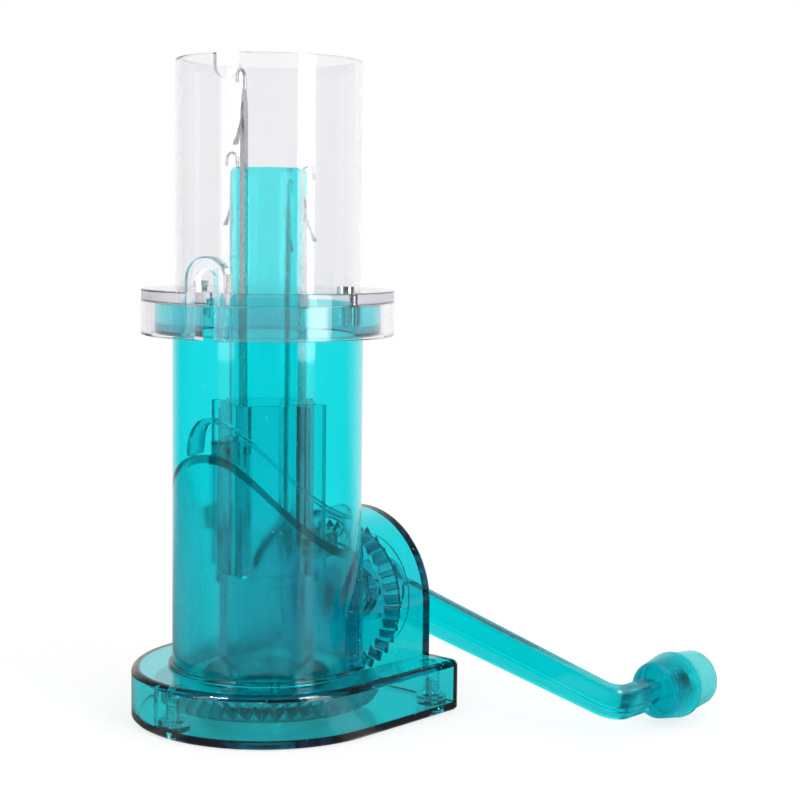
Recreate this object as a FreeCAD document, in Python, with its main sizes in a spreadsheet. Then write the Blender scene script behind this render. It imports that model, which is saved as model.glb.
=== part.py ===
import FreeCAD, Part
import math
import operator
import os

import Sketcher
from FreeCAD import Placement, Rotation, Vector

# A hand-crank cord knitting machine. A crank turns a bevel gear in a hood at the side of
# the base, the gear turns a toothed ring under the tube, and the ring carries the needle
# cylinder round. Four latch needles slide in the cylinder and ride on a fixed cam inside
# the tube. A clear cover with a yarn guide stands on top.
#
# Frame: millimetres, Z up along the tube, origin on the tube's axis at the underside of the
# base. X is the crank's axis and points out of the flat end of the base.

SIZES = [
    # Base, hood and tube
    ("base_radius", 40.5, "round end of the base, about the tube's axis"),
    ("base_end", 43.8, "tube axis to the flat end of the base"),
    ("base_height", 15.4, "table to the top of the base"),
    ("plate_thickness", 2.2, "base plate"),
    ("wall", 2.4, "moulded walls"),
    ("base_corner", 3.0, "plan radius of the flat end's corners"),
    ("base_edge", 2.0, "round on the top edge of the base"),
    ("plate_chamfer", 0.7, "chamfer round the plate's underside"),
    ("axis_height", 31.0, "table to the crank's axis"),
    ("hood_half_width", 27.9, "hood, outside, from its middle plane"),
    ("hood_start", 3.0, "where the hood's walls meet the tube"),
    ("hood_edge", 0.9, "round on the hood's outer rim"),
    ("pad_radius", 18.4, "raised pad round the crank's bearing"),
    ("pad_height", 0.5, "height of that pad"),
    ("bearing_start", 36.2, "inner face of the crank's bearing, along X"),
    ("bearing_radius", 8.0, "boss of the crank's bearing"),
    ("wall_rib_side", 5.0, "upright rib in the base's round end, off the middle plane"),
    ("wall_rib_width", 1.4, "thickness of that rib"),
    ("wall_rib_depth", 1.6, "how far that rib stands in from the wall"),
    ("tube_radius", 28.3, "outer tube, outside"),
    ("tube_foot", 13.0, "lower end of the tube, in the base's top"),
    ("foot_radius", 29.5, "shoulder that stands on the base"),
    ("foot_height", 1.1, "height of that shoulder"),
    ("lip_radius", 24.2, "inner lip that carries the cam"),
    ("flange_radius", 33.5, "flange at the tube's top"),
    ("flange_low", 115.2, "underside of that flange"),
    ("flange_floor", 118.4, "floor of the channel in that flange"),
    ("flange_wall", 1.6, "outer wall of that channel"),
    ("flange_top", 124.4, "top of that flange"),
    ("rim_round", 0.6, "round on the rims of the tube and the yarn guide"),
    # Clear cover
    ("cover_height", 195.0, "table to the cover's rim"),
    ("cover_radius", 27.35, "cover's cylinder, outside"),
    ("cover_wall", 1.8, "cover's cylinder wall"),
    ("cover_round", 0.5, "round on the cover's rims"),
    ("collar_radius", 37.5, "cover's collar, outside"),
    ("collar_bore", 34.7, "inside of the collar's skirt"),
    ("collar_low", 114.7, "lower edge of the skirt"),
    ("collar_top", 128.15, "top face of the collar"),
    ("guide_angle", 199.0, "direction of the yarn guide and rim notch"),
    ("guide_half_width", 6.5, "yarn guide tab"),
    ("guide_centre", 131.8, "centre height of the tab's round top"),
    ("guide_proud", 1.8, "tab's stand-off from the collar"),
    ("guide_thickness", 3.4, "tab, front to back"),
    ("slot_half_width", 2.9, "yarn slot in the tab"),
    ("slot_depth", 5.7, "yarn slot, front to back"),
    ("notch_half_width", 3.9, "notch in the cover's rim"),
    ("notch_centre", 191.6, "centre height of the notch's round bottom"),
    # Cam
    ("cam_inner", 23.7, "cam sleeves, inside"),
    ("cam_outer", 25.85, "cam sleeves, outside"),
    ("cam_low", 50.0, "lowest point of the cam's edge"),
    ("cam_rise", 31.0, "rise of the cam's edge"),
    ("cam_peak_angle", 184.0, "direction of the cam's peak"),
    ("cam_rise_power", 6.0, "steepness of the flank that lifts"),
    ("cam_fall_power", 4.5, "steepness of the flank that lowers"),
    ("cam_gap", 9.6, "room for a butt between the two cams"),
    ("cam_rib", 1.2, "height of the upper cam's rib"),
    ("cam_crown_angle", 188.0, "direction where the upper cam's arch is full"),
    ("cam_arch_outer", 22.0, "outer edge of that arch, from its crown to its foot"),
    ("cam_arch_inner", 12.0, "inner edge of that arch, from its crown to its foot"),
    ("cam_foot_gap", 0.6, "foot of that arch above the lower cam"),
    ("cam_rib_end", 318.0, "last direction of the upper cam"),
    # Gears
    ("crank_teeth", 35, "teeth of the crank gear"),
    ("ring_teeth", 50, "teeth of the ring gear"),
    ("crank_pitch_radius", 23.25, "crank gear, pitch radius at the large end"),
    ("gear_face", 4.8, "tooth length along the cone"),
    ("tooth_height", 1.35, "tooth above the pitch cone"),
    ("tooth_depth", 2.2, "tooth below the pitch cone"),
    ("tooth_sink", 0.3, "tooth's root inside the blank"),
    ("tooth_fill", 0.74, "tooth thickness over half a pitch, the rest is backlash"),
    ("tooth_flank", 24.0, "flank angle"),
    ("gear_web_inset", 0.5, "crank gear's web, behind the small ends of the teeth"),
    ("gear_rim_inset", 1.0, "crank gear's rim under the small ends of the teeth"),
    ("gear_back", 1.0, "crank gear's back, behind the large ends of the teeth"),
    ("gear_hub_radius", 10.0, "crank gear's hub"),
    ("gear_end_play", 0.25, "room between that hub and the bearing"),
    ("shaft_radius", 4.0, "crank gear's shaft"),
    ("running_gap", 0.05, "radial room of a shaft in its bearing"),
    ("drive_square", 5.6, "square end of the shaft"),
    ("drive_end", 51.0, "end of the square, along X"),
    ("drive_hole", 9.0, "depth of the screw hole in the square"),
    ("ring_bore", 11.05, "ring gear's bore on the base plate's journal"),
    ("ring_low", 2.35, "underside of the ring gear's hub"),
    ("ring_under", 5.6, "underside of the ring gear's rim"),
    ("ring_seat", 8.0, "seat of the needle cylinder on the ring gear"),
    ("ring_hub_radius", 20.0, "ring gear's hub"),
    ("ring_rim_inset", 0.5, "ring gear's underside, inside the large ends of the teeth"),
    ("ring_seat_inset", 1.8, "ring gear's seat, inside the small ends of the teeth"),
    # Needle cylinder
    ("cord_radius", 9.0, "passage for the knitted cord"),
    ("journal_height", 4.8, "base plate's journal, above the plate"),
    ("column_radius", 11.5, "upper column of the needle cylinder"),
    ("column_top", 163.7, "top of that column"),
    ("column_bevel_height", 1.4, "bevel round the column's top, upright"),
    ("column_bevel_width", 0.84, "bevel round the column's top, across"),
    ("drum_radius", 14.3, "lower drum of the needle cylinder"),
    ("drum_shoulder", 94.5, "shoulder between drum and column"),
    ("drum_foot_radius", 19.0, "foot flange of the drum"),
    ("drum_foot_top", 13.5, "top of that flange"),
    ("stop_low", 41.4, "stop ring below the needle slots"),
    ("stop_top", 44.6, "top of the stop ring"),
    ("stop_radius", 15.4, "stop ring, outside"),
    ("rib_radius", 17.8, "guide ribs beside each needle, outside"),
    ("rib_gap", 2.5, "half the gap between two guide ribs"),
    ("rib_thickness", 2.0, "guide rib"),
    ("slot_floor", 11.2, "floor of a needle slot"),
    ("slot_side", 0.88, "half width of a needle slot"),
    ("needle_angle", 189.5, "direction of the first needle"),
    # Needles, latches and their carriers
    ("needle_inner", 11.3, "needle's back, from the tube's axis"),
    ("needle_depth", 1.8, "needle's blade, front to back"),
    ("needle_half_width", 0.8, "half the blade's width"),
    ("hook_over_butt", 110.5, "top of the hook above the butt's middle"),
    ("wire_radius", 0.48, "wire of the hook"),
    ("wire_inset", 0.55, "middle of that wire, from the needle's back"),
    ("wire_sink", 6.0, "start of that wire, below the end of the blade's taper"),
    ("hook_radius", 1.9, "hook's bend, at the middle of the wire"),
    ("hook_drop", 2.0, "straight end of the hook"),
    ("hook_neck", 2.4, "straight wire under the bend"),
    ("taper_length", 7.4, "blade's taper up to the wire"),
    ("taper_tip", 0.3, "half width of the taper's end, inside the wire"),
    ("latch_below_hook", 13.0, "top of the hook down to the latch's rivet"),
    ("latch_rivet_place", 12.55, "rivet, from the tube's axis"),
    ("rivet_radius", 0.32, "latch rivet"),
    ("latch_length", 9.6, "rivet to the latch's tip"),
    ("latch_half_width", 0.3, "half the latch's thickness"),
    ("latch_slot", 0.36, "half width of the latch's slot"),
    ("latch_slot_floor", 0.6, "steel left behind the latch's slot"),
    ("latch_slot_reach", 3.2, "latch's slot, above and below the rivet"),
    ("latch_eye", 0.58, "latch's eye"),
    ("latch_neck", 0.5, "half width of the latch beside its eye"),
    ("latch_tip", 0.32, "half width of the latch at its tip"),
    ("spoon_length", 2.4, "spoon at the latch's tip"),
    ("spoon_bulge", 0.45, "spoon's height off the latch's middle"),
    ("spoon_width", 1.5, "width of the spoon"),
    ("latch_open", 22.0, "open latch, from straight down"),
    ("carrier_half_height", 4.5, "tongue of a needle carrier"),
    ("carrier_half_width", 2.4, "tongue, between the guide ribs"),
    ("carrier_inner", 14.5, "tongue's inner face"),
    ("carrier_outer", 17.6, "tongue's outer face"),
    ("butt_half_size", 3.4, "butt that rides on the cam"),
    ("butt_start", 17.95, "butt's inner face, clear of the guide ribs"),
    ("butt_reach", 23.3, "butt's outer face"),
    ("butt_round", 1.6, "round on the butt's outer edges"),
    ("foot_reach", 16.4, "bent foot of the needle, in the carrier"),
    ("foot_half_height", 1.0, "half height of that foot"),
    # Crank and knob
    ("crank_angle", 12.54, "arm below the horizontal, as photographed"),
    ("crank_length", 95.8, "crank axis to knob axis"),
    ("arm_front", 47.9, "arm's inner face, along X"),
    ("arm_thickness", 5.0, "arm's bar"),
    ("hub_front", 45.2, "hub's inner face, along X"),
    ("hub_back", 53.9, "hub's outer face, along X"),
    ("hub_radius", 9.5, "hub of the arm"),
    ("bar_bevel", 0.7, "bevel on the bar's top edges"),
    ("bar_top_hub", 6.8, "bar's top edge at the hub, above the arm's line"),
    ("bar_top_end", 3.9, "bar's top edge at the elbow"),
    ("bar_low_hub", -1.6, "bar's lower edge at the hub"),
    ("bar_low_end", -2.8, "bar's lower edge at the elbow"),
    ("fin_low_hub", -6.7, "fin's lower edge at the hub"),
    ("fin_low_end", -5.4, "fin's lower edge at the elbow"),
    ("fin_thickness", 2.4, "fin under the bar"),
    ("fin_sink", 2.0, "fin's root inside the bar at the elbow"),
    ("fin_bend", 7.0, "round on the fin's outer corner"),
    ("fin_hollow", 4.6, "round on the fin's inner corner"),
    ("fin_tip", 66.9, "end of the fin round the elbow, along X"),
    ("elbow_reach", 68.9, "end of the elbow, along X"),
    ("elbow_over", 2.9, "elbow's outer face past the knob axis"),
    ("elbow_width", 5.8, "elbow across the knob axis"),
    ("elbow_bend", 8.5, "round on the elbow's outer corner"),
    ("elbow_hollow", 3.5, "round on the elbow's inner corner"),
    ("spindle_radius", 3.0, "spindle that the knob turns on"),
    ("spindle_hole", 8.0, "depth of the screw hole in the spindle"),
    ("knob_play", 0.3, "end play of the knob"),
    ("knob_start", 69.7, "knob's inner face, along X"),
    ("knob_bevel", 0.9, "bevel round the knob's inner face"),
    ("knob_ridge", 80.5, "widest place of the knob"),
    ("knob_end", 91.5, "knob's outer rim"),
    ("knob_start_radius", 8.37, "knob at its inner face"),
    ("knob_ridge_radius", 9.94, "knob at the ridge"),
    ("knob_end_radius", 8.45, "knob at the rim"),
    ("ridge_front", 0.8, "ridge, before its middle"),
    ("ridge_back", 0.2, "ridge, behind its middle"),
    ("ridge_fall", 0.6, "end of the step behind the ridge"),
    ("knob_step", 0.55, "height of that step"),
    ("knob_wall", 1.1, "wall of the knob's open end"),
    ("knob_floor", 81.4, "floor of the knob's open end"),
    # Fasteners
    ("post_radius", 2.6, "front screw posts under the base's top"),
    ("rear_post_radius", 1.9, "rear screw post, between the wall and the ring gear"),
    ("post_low", 5.2, "lower end of the screw posts"),
    ("boss_radius", 4.6, "screw bosses on the base plate"),
    ("boss_top", 5.0, "top of those bosses"),
    ("rear_post_x", -36.4, "rear screw, along X"),
    ("front_post_x", 36.6, "front screws, along X"),
    ("front_post_y", 33.3, "front screws, to each side"),
    ("screw_radius", 1.2, "screw shank"),
    ("screw_head_radius", 2.6, "screw head"),
    ("screw_head_height", 1.7, "screw head, thickness"),
    ("screw_room", 0.1, "room round a screw"),
    ("recess_width", 0.7, "cross recess in a screw head"),
    ("recess_depth", 0.9, "depth of that recess"),
    ("base_screw_length", 10.0, "screws of the base plate"),
    ("base_screw_sink", 0.3, "their heads above the plate's underside"),
    ("base_pilot", 6.5, "depth of the holes in the screw posts"),
    ("ring_screw_place", 15.6, "ring gear's screws, from the axis"),
    ("ring_screw_length", 9.6, "ring gear's screws"),
    ("ring_screw_sink", 0.4, "their heads above the ring gear's underside"),
    ("ring_pilot", 5.0, "depth of the screw holes in the needle cylinder"),
    ("crank_screw_length", 8.0, "screws of the crank and the knob"),
    ("cover_screw_place", 30.5, "cover's screws, from the axis"),
    ("cover_screw_angle", 272.0, "direction of the first of those screws, the other is opposite"),
    ("cover_screw_length", 10.4, "cover's screws"),
    ("cover_boss_radius", 2.7, "bosses for those screws in the tube's flange"),
    ("cover_pilot", 5.6, "depth of the holes in those bosses"),
    # Modelling allowances
    ("overlap", 0.4, "how far the features of one piece run into each other"),
    ("cut_over", 1.0, "how far a cut starts outside the piece"),
]

FULL_TURN = 360.0
NEEDLE_COUNT = 4
QUARTER_TURN = 90.0
RING_SCREW_COUNT = 3
CAM_STEP = 7.5
ARCH_STEPS = 8
# Butt heights at rest, in turn from the first needle: the first is at the top of the cam.
BUTT_HEIGHTS = (81.3, 54.0, 50.5, 58.3)

doc = FreeCAD.newDocument("cord_knitter")
sheet = doc.addObject("Spreadsheet::Sheet", "dims")
for row_number, (alias, number, meaning) in enumerate(SIZES, start=1):
    sheet.set(f"A{row_number}", meaning)
    sheet.set(f"B{row_number}", str(number))
    sheet.setAlias(f"B{row_number}", alias)
doc.recompute()

# How far an edge may be from where it is looked for
SLACK = 0.02

OPERATIONS = {"+": operator.add, "-": operator.sub, "*": operator.mul, "/": operator.truediv}


class Size:
    """A length or an angle, with the sheet expression that drives it."""

    def __init__(self, value, text):
        self.value = value
        self.text = text

    def __add__(self, other):
        return joined(self, "+", other)

    def __radd__(self, other):
        return joined(other, "+", self)

    def __sub__(self, other):
        return joined(self, "-", other)

    def __rsub__(self, other):
        return joined(other, "-", self)

    def __mul__(self, other):
        return joined(self, "*", other)

    def __rmul__(self, other):
        return joined(other, "*", self)

    def __truediv__(self, other):
        return joined(self, "/", other)

    def __neg__(self):
        return joined(0.0, "-", self)


def as_size(number):
    return number if isinstance(number, Size) else Size(float(number), f"({float(number)})")


def joined(left, sign, right):
    left_size, right_size = as_size(left), as_size(right)
    value = OPERATIONS[sign](left_size.value, right_size.value)
    return Size(value, f"({left_size.text} {sign} {right_size.text})")


class Dimensions:
    """The sheet's cells by name, each as a Size."""

    def __getattr__(self, alias):
        return Size(float(sheet.get(alias)), f"dims.{alias}")


d = Dimensions()


def bind(item, path, size):
    """Drive one property of an object from the sheet."""
    item.setExpression(path, as_size(size).text)


# Sketches and features that the pieces share

def new_body(label):
    body = doc.addObject("PartDesign::Body", label)
    body.Label = label
    return body


def new_sketch(body, name, role, offset=0.0):
    """A sketch on one of the body's own planes, moved along the plane's normal."""
    plane = next(item for item in body.Origin.OriginFeatures if item.Role == role)
    sketch = body.newObject("Sketcher::SketchObject", name)
    sketch.AttachmentSupport = [(plane, "")]
    sketch.MapMode = "FlatFace"
    bind(sketch, "AttachmentOffset.Base.z", offset)
    return sketch


def drive(sketch, kind, first, first_point, second, second_point, size):
    """A sketch dimension between two points, driven from the sheet."""
    amount = as_size(size)
    constraint = Sketcher.Constraint(kind, first, first_point, second, second_point, amount.value)
    index = sketch.addConstraint(constraint)
    sketch.setExpression(f"Constraints[{index}]", amount.text)


def pin_point(sketch, geometry, point, place):
    """Fix a point of a sketch at a driven distance from the sketch's origin."""
    drive(sketch, "DistanceX", -1, 1, geometry, point, place[0])
    drive(sketch, "DistanceY", -1, 1, geometry, point, place[1])


def flat(place):
    return Vector(as_size(place[0]).value, as_size(place[1]).value, 0)


def add_outline(sketch, corners):
    """A closed outline of straight lines."""
    first = sketch.GeometryCount
    count = len(corners)
    for number, corner in enumerate(corners):
        following = corners[(number + 1) % count]
        sketch.addGeometry(Part.LineSegment(flat(corner), flat(following)), False)
    for number, corner in enumerate(corners):
        following = first + (number + 1) % count
        sketch.addConstraint(Sketcher.Constraint("Coincident", first + number, 2, following, 1))
        pin_point(sketch, first + number, 1, corner)


def add_circle(sketch, centre, radius):
    amount = as_size(radius)
    circle = Part.Circle(flat(centre), Vector(0, 0, 1), amount.value)
    number = sketch.addGeometry(circle, False)
    pin_point(sketch, number, 3, centre)
    index = sketch.addConstraint(Sketcher.Constraint("Radius", number, amount.value))
    sketch.setExpression(f"Constraints[{index}]", amount.text)


def add_arch(sketch, half_width, low, centre, upward=True):
    """A straight-sided outline with a half-round end: an arch, or a U when not upward."""
    width, base, middle = as_size(half_width), as_size(low), as_size(centre)
    arc_start, arc_end = (0.0, math.pi) if upward else (math.pi, 2 * math.pi)
    right, left = (1, -1) if upward else (-1, 1)
    circle = Part.Circle(Vector(0, middle.value, 0), Vector(0, 0, 1), width.value)
    arc = sketch.addGeometry(Part.ArcOfCircle(circle, arc_start, arc_end), False)
    corners = [(left * width, middle), (left * width, base), (right * width, base), (right * width, middle)]
    lines = []
    for start, end in zip(corners[:-1], corners[1:]):
        lines.append(sketch.addGeometry(Part.LineSegment(flat(start), flat(end)), False))
    drive(sketch, "DistanceY", -1, 1, arc, 3, middle)
    for line, corner in zip(lines, corners[:-1]):
        pin_point(sketch, line, 1, corner)
    pin_point(sketch, lines[-1], 2, corners[-1])
    for line, following in zip(lines[:-1], lines[1:]):
        sketch.addConstraint(Sketcher.Constraint("Coincident", line, 2, following, 1))
    sketch.addConstraint(Sketcher.Constraint("Coincident", arc, 2, lines[0], 1))
    sketch.addConstraint(Sketcher.Constraint("Coincident", arc, 1, lines[-1], 2))


def add_base_outline(sketch, inset):
    """The base in plan: a half circle about the tube's axis, run straight to a flat end."""
    radius, end = d.base_radius - inset, d.base_end - inset
    circle = Part.Circle(Vector(0, 0, 0), Vector(0, 0, 1), radius.value)
    arc = sketch.addGeometry(Part.ArcOfCircle(circle, math.pi / 2, 3 * math.pi / 2), False)
    corners = [(0.0, -radius), (end, -radius), (end, radius), (0.0, radius)]
    lines = []
    for start, stop in zip(corners[:-1], corners[1:]):
        lines.append(sketch.addGeometry(Part.LineSegment(flat(start), flat(stop)), False))
    drive(sketch, "DistanceX", -1, 1, arc, 3, 0.0)
    for line, corner in zip(lines, corners[:-1]):
        pin_point(sketch, line, 1, corner)
    pin_point(sketch, lines[-1], 2, corners[-1])
    for line, following in zip(lines[:-1], lines[1:]):
        sketch.addConstraint(Sketcher.Constraint("Coincident", line, 2, following, 1))
    sketch.addConstraint(Sketcher.Constraint("Coincident", arc, 2, lines[0], 1))
    sketch.addConstraint(Sketcher.Constraint("Coincident", arc, 1, lines[-1], 2))


def pad(body, name, sketch, length, both_ways=False):
    feature = body.newObject("PartDesign::Pad", name)
    feature.Profile = sketch
    bind(feature, "Length", length)
    feature.Midplane = both_ways
    doc.recompute()
    return feature


def pocket(body, name, sketch, length, along_normal=True):
    """Cut a sketch into the body, and make sure that the cut takes something away."""
    doc.recompute()
    before = body.Shape.Volume
    feature = body.newObject("PartDesign::Pocket", name)
    feature.Profile = sketch
    bind(feature, "Length", length)
    feature.Reversed = along_normal
    doc.recompute()
    if body.Shape.Volume >= before:
        raise RuntimeError(f"{name} cuts nothing from {body.Label}")
    return feature


def pocket_both_ways(body, name, sketch, length):
    """Cut a sketch into the body to both sides of its plane."""
    feature = pocket(body, name, sketch, length)
    feature.Midplane = True
    doc.recompute()
    return feature


def revolve(body, name, sketch, axis="V_Axis"):
    feature = body.newObject("PartDesign::Revolution", name)
    feature.Profile = sketch
    feature.ReferenceAxis = (sketch, [axis])
    feature.Angle = FULL_TURN
    doc.recompute()
    return feature


def round_edges(body, name, radius, chosen, kind="Fillet"):
    """Round, or chamfer, the edges of the body that a test picks out."""
    base = body.Tip
    doc.recompute()
    names = [f"Edge{number}" for number, edge in enumerate(base.Shape.Edges, start=1) if chosen(edge)]
    if not names:
        raise RuntimeError(f"{name} finds no edge on {body.Label}")
    feature = body.newObject(f"PartDesign::{kind}", name)
    feature.Base = (base, names)
    bind(feature, "Radius" if kind == "Fillet" else "Size", radius)
    doc.recompute()
    return feature


def repeat_round_axis(body, name, features, count):
    """Repeat features about the body's Z axis."""
    pattern = body.newObject("PartDesign::PolarPattern", name)
    pattern.Originals = features
    axis = next(item for item in body.Origin.OriginFeatures if item.Role == "Z_Axis")
    pattern.Axis = (axis, [""])
    pattern.Angle = FULL_TURN
    pattern.Occurrences = count
    body.Tip = pattern
    doc.recompute()
    return pattern


def at_height(edge, height):
    return all(abs(vertex.Z - height) < SLACK for vertex in edge.Vertexes)


def in_cross_plane(edge, place):
    """Whether an edge lies in one plane square to X."""
    box = edge.BoundBox
    return abs(box.XMin - as_size(place).value) < SLACK and box.XLength < SLACK


def is_upright(edge):
    box = edge.BoundBox
    return box.XLength < SLACK and box.YLength < SLACK and box.ZLength > SLACK


def upright_at(x_place, y_place):
    """A test for the upright edge at one place of a plan."""
    def is_there(edge):
        place = edge.CenterOfMass
        near_x = abs(place.x - x_place.value) < SLACK
        return is_upright(edge) and near_x and abs(place.y - y_place.value) < SLACK

    return is_there


def is_ring(edge, radius, height):
    """Whether an edge is a full circle about Z, of one radius at one height."""
    box = edge.BoundBox
    full = abs(box.XLength - 2 * radius) < SLACK and abs(box.YLength - 2 * radius) < SLACK
    return full and abs(box.ZMin - height) < SLACK and abs(box.ZMax - height) < SLACK


def turned_piece(label, corners):
    """A body of revolution about Z, from its half section as radius and height."""
    body = new_body(label)
    section = new_sketch(body, f"{label}_section", "XZ_Plane")
    add_outline(section, corners)
    revolve(body, f"{label}_turned", section)
    return body


def fixed_shape(label, shape):
    """A piece whose shape is made in code from the sheet's values."""
    feature = doc.addObject("Part::Feature", label)
    feature.Label = label
    feature.Shape = shape
    return feature


pieces = []


def keep(item):
    """Note a finished piece, to be written at the end."""
    pieces.append(item)
    return item


# Base plate, housing and the screws between them

def screw_places():
    return [
        (d.rear_post_x, as_size(0.0)),
        (d.front_post_x, d.front_post_y),
        (d.front_post_x, -d.front_post_y),
    ]


def circles_at(body, name, height, places, radius):
    sketch = new_sketch(body, name, "XY_Plane", height)
    for place in places:
        add_circle(sketch, place, radius)
    return sketch


def is_end_corner(edge):
    """One of the two upright corners at the flat end of the base."""
    place = edge.Vertexes[0].Point
    return is_upright(edge) and abs(place.x - d.base_end.value) < SLACK


def make_base_plate():
    body = new_body("base_plate")
    outline = new_sketch(body, "plate_outline", "XY_Plane")
    add_base_outline(outline, 0.0)
    pad(body, "plate", outline, d.plate_thickness)
    round_edges(body, "plate_corners", d.base_corner, is_end_corner)
    round_edges(body, "plate_edge", d.plate_chamfer, lambda edge: at_height(edge, 0.0), kind="Chamfer")
    centre = [(as_size(0.0), as_size(0.0))]
    journal = circles_at(body, "journal_circle", d.plate_thickness, centre, d.ring_bore - d.running_gap)
    pad(body, "journal", journal, d.journal_height)
    bosses = circles_at(body, "boss_circles", d.plate_thickness, screw_places(), d.boss_radius)
    pad(body, "bosses", bosses, d.boss_top - d.plate_thickness)
    wall_room = new_sketch(body, "wall_room_outline", "XY_Plane", d.plate_thickness)
    add_base_outline(wall_room, -d.boss_radius)
    add_base_outline(wall_room, d.wall + d.running_gap)
    pocket(body, "boss_trim", wall_room, d.boss_top - d.plate_thickness)
    outlet = circles_at(body, "outlet_circle", 0.0, centre, d.cord_radius)
    pocket(body, "cord_outlet", outlet, d.plate_thickness + d.journal_height)
    holes = circles_at(body, "hole_circles", 0.0, screw_places(), d.screw_radius + d.screw_room)
    pocket(body, "screw_holes", holes, d.boss_top)
    seats = circles_at(body, "seat_circles", 0.0, screw_places(), d.screw_head_radius + d.screw_room)
    pocket(body, "screw_seats", seats, d.screw_head_height + d.base_screw_sink)
    keep(body)


def make_base_housing():
    body = new_body("base_housing")
    roof_under = d.base_height - d.wall
    outline = new_sketch(body, "housing_outline", "XY_Plane", d.plate_thickness)
    add_base_outline(outline, 0.0)
    pad(body, "housing_block", outline, d.base_height - d.plate_thickness)
    round_edges(body, "housing_corners", d.base_corner, is_end_corner)
    round_edges(body, "housing_edge", d.base_edge, lambda edge: at_height(edge, d.base_height.value))
    hood = new_sketch(body, "hood_outline", "YZ_Plane", d.hood_start)
    add_arch(hood, d.hood_half_width, d.base_height - d.base_edge - d.overlap, d.axis_height)
    pad(body, "hood", hood, d.base_end - d.hood_start)

    def is_hood_rim(edge):
        return in_cross_plane(edge, d.base_end) and edge.BoundBox.ZMin > d.axis_height.value - SLACK

    round_edges(body, "hood_rim", d.hood_edge, is_hood_rim)
    pads = new_sketch(body, "bearing_pad_circle", "YZ_Plane", d.base_end - d.overlap)
    add_circle(pads, (0.0, d.axis_height), d.pad_radius)
    cavity = new_sketch(body, "base_cavity", "XY_Plane", d.plate_thickness)
    add_base_outline(cavity, d.wall)
    pocket(body, "base_hollow", cavity, roof_under - d.plate_thickness)
    hood_cavity = new_sketch(body, "hood_cavity", "YZ_Plane", d.hood_start)
    add_arch(hood_cavity, d.hood_half_width - d.wall, d.plate_thickness + d.cut_over, d.axis_height)
    pocket(body, "hood_hollow", hood_cavity, d.base_end - d.wall - d.hood_start)
    pad(body, "bearing_pad", pads, d.pad_height + d.overlap)
    boss = new_sketch(body, "bearing_circle", "YZ_Plane", d.bearing_start)
    add_circle(boss, (0.0, d.axis_height), d.bearing_radius)
    pad(body, "bearing_boss", boss, d.base_end - d.bearing_start)
    bore = new_sketch(body, "bearing_bore_circle", "YZ_Plane", d.bearing_start)
    add_circle(bore, (0.0, d.axis_height), d.shaft_radius + d.running_gap)
    pocket(body, "bearing_bore", bore, d.base_end + d.pad_height - d.bearing_start)
    centre = [(as_size(0.0), as_size(0.0))]
    well = circles_at(body, "tube_circle", d.plate_thickness, centre, d.tube_radius + d.running_gap)
    pocket(body, "tube_well", well, d.axis_height + d.hood_half_width)
    step = circles_at(body, "foot_circle", d.base_height, centre, d.foot_radius + d.running_gap)
    pocket(body, "foot_step", step, d.foot_height + d.running_gap)
    rear_place, *front_places = screw_places()
    posts = circles_at(body, "post_circles", d.post_low, front_places, d.post_radius)
    add_circle(posts, rear_place, d.rear_post_radius)
    pad(body, "screw_posts", posts, roof_under - d.post_low + d.overlap)
    pilots = circles_at(body, "pilot_circles", d.post_low, screw_places(), d.screw_radius + d.screw_room / 2)
    pocket(body, "screw_pilots", pilots, d.base_pilot)
    rib = new_sketch(body, "wall_rib_outline", "XY_Plane", d.plate_thickness)
    rib_outer, rib_inner = d.wall / 2 - d.base_radius, d.wall + d.wall_rib_depth - d.base_radius
    near, far = d.wall_rib_side, d.wall_rib_side + d.wall_rib_width
    add_outline(rib, [(rib_outer, near), (rib_inner, near), (rib_inner, far), (rib_outer, far)])
    pad(body, "wall_rib", rib, roof_under - d.plate_thickness + d.overlap)
    keep(body)


def make_screw(label, length):
    """One pan-head screw standing head down on the origin, with a cross recess."""
    head = doc.addObject("Part::Cylinder", f"{label}_head")
    bind(head, "Radius", d.screw_head_radius)
    bind(head, "Height", d.screw_head_height)
    shank = doc.addObject("Part::Cylinder", f"{label}_shank")
    bind(shank, "Radius", d.screw_radius)
    bind(shank, "Height", length)
    whole = doc.addObject("Part::Fuse", f"{label}_blank")
    whole.Base = head
    whole.Tool = shank
    tools = []
    for long_side, long_axis, short_side, short_axis in (("Length", "x", "Width", "y"),
                                                         ("Width", "y", "Length", "x")):
        blade = doc.addObject("Part::Box", f"{label}_recess_{long_axis}")
        bind(blade, long_side, d.screw_head_radius)
        bind(blade, short_side, d.recess_width)
        bind(blade, "Height", d.recess_depth)
        bind(blade, f"Placement.Base.{long_axis}", d.screw_head_radius / -2)
        bind(blade, f"Placement.Base.{short_axis}", d.recess_width / -2)
        tools.append(blade)
    recess = doc.addObject("Part::Fuse", f"{label}_recess")
    recess.Base, recess.Tool = tools
    screw = doc.addObject("Part::Cut", label)
    screw.Base = whole
    screw.Tool = recess
    return screw


def group(label, members):
    """Several separate solids kept as one piece."""
    bundle = doc.addObject("Part::Compound", label)
    bundle.Label = label
    bundle.Links = members
    return keep(bundle)


def make_base_screws():
    screws = []
    for number, (x_place, y_place) in enumerate(screw_places(), start=1):
        screw = make_screw(f"base_screw_{number}", d.base_screw_length)
        bind(screw, "Placement.Base.x", x_place)
        bind(screw, "Placement.Base.y", y_place)
        bind(screw, "Placement.Base.z", d.base_screw_sink)
        screws.append(screw)
    group("base_screws", screws)


# Tube and clear cover

def cover_screw_places(turn):
    """The cover's screws in plan, for a piece that is turned about the axis."""
    angle = math.radians((d.cover_screw_angle - turn).value)
    x_place, y_place = d.cover_screw_place * math.cos(angle), d.cover_screw_place * math.sin(angle)
    return [(x_place, y_place), (-x_place, -y_place)]


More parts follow.
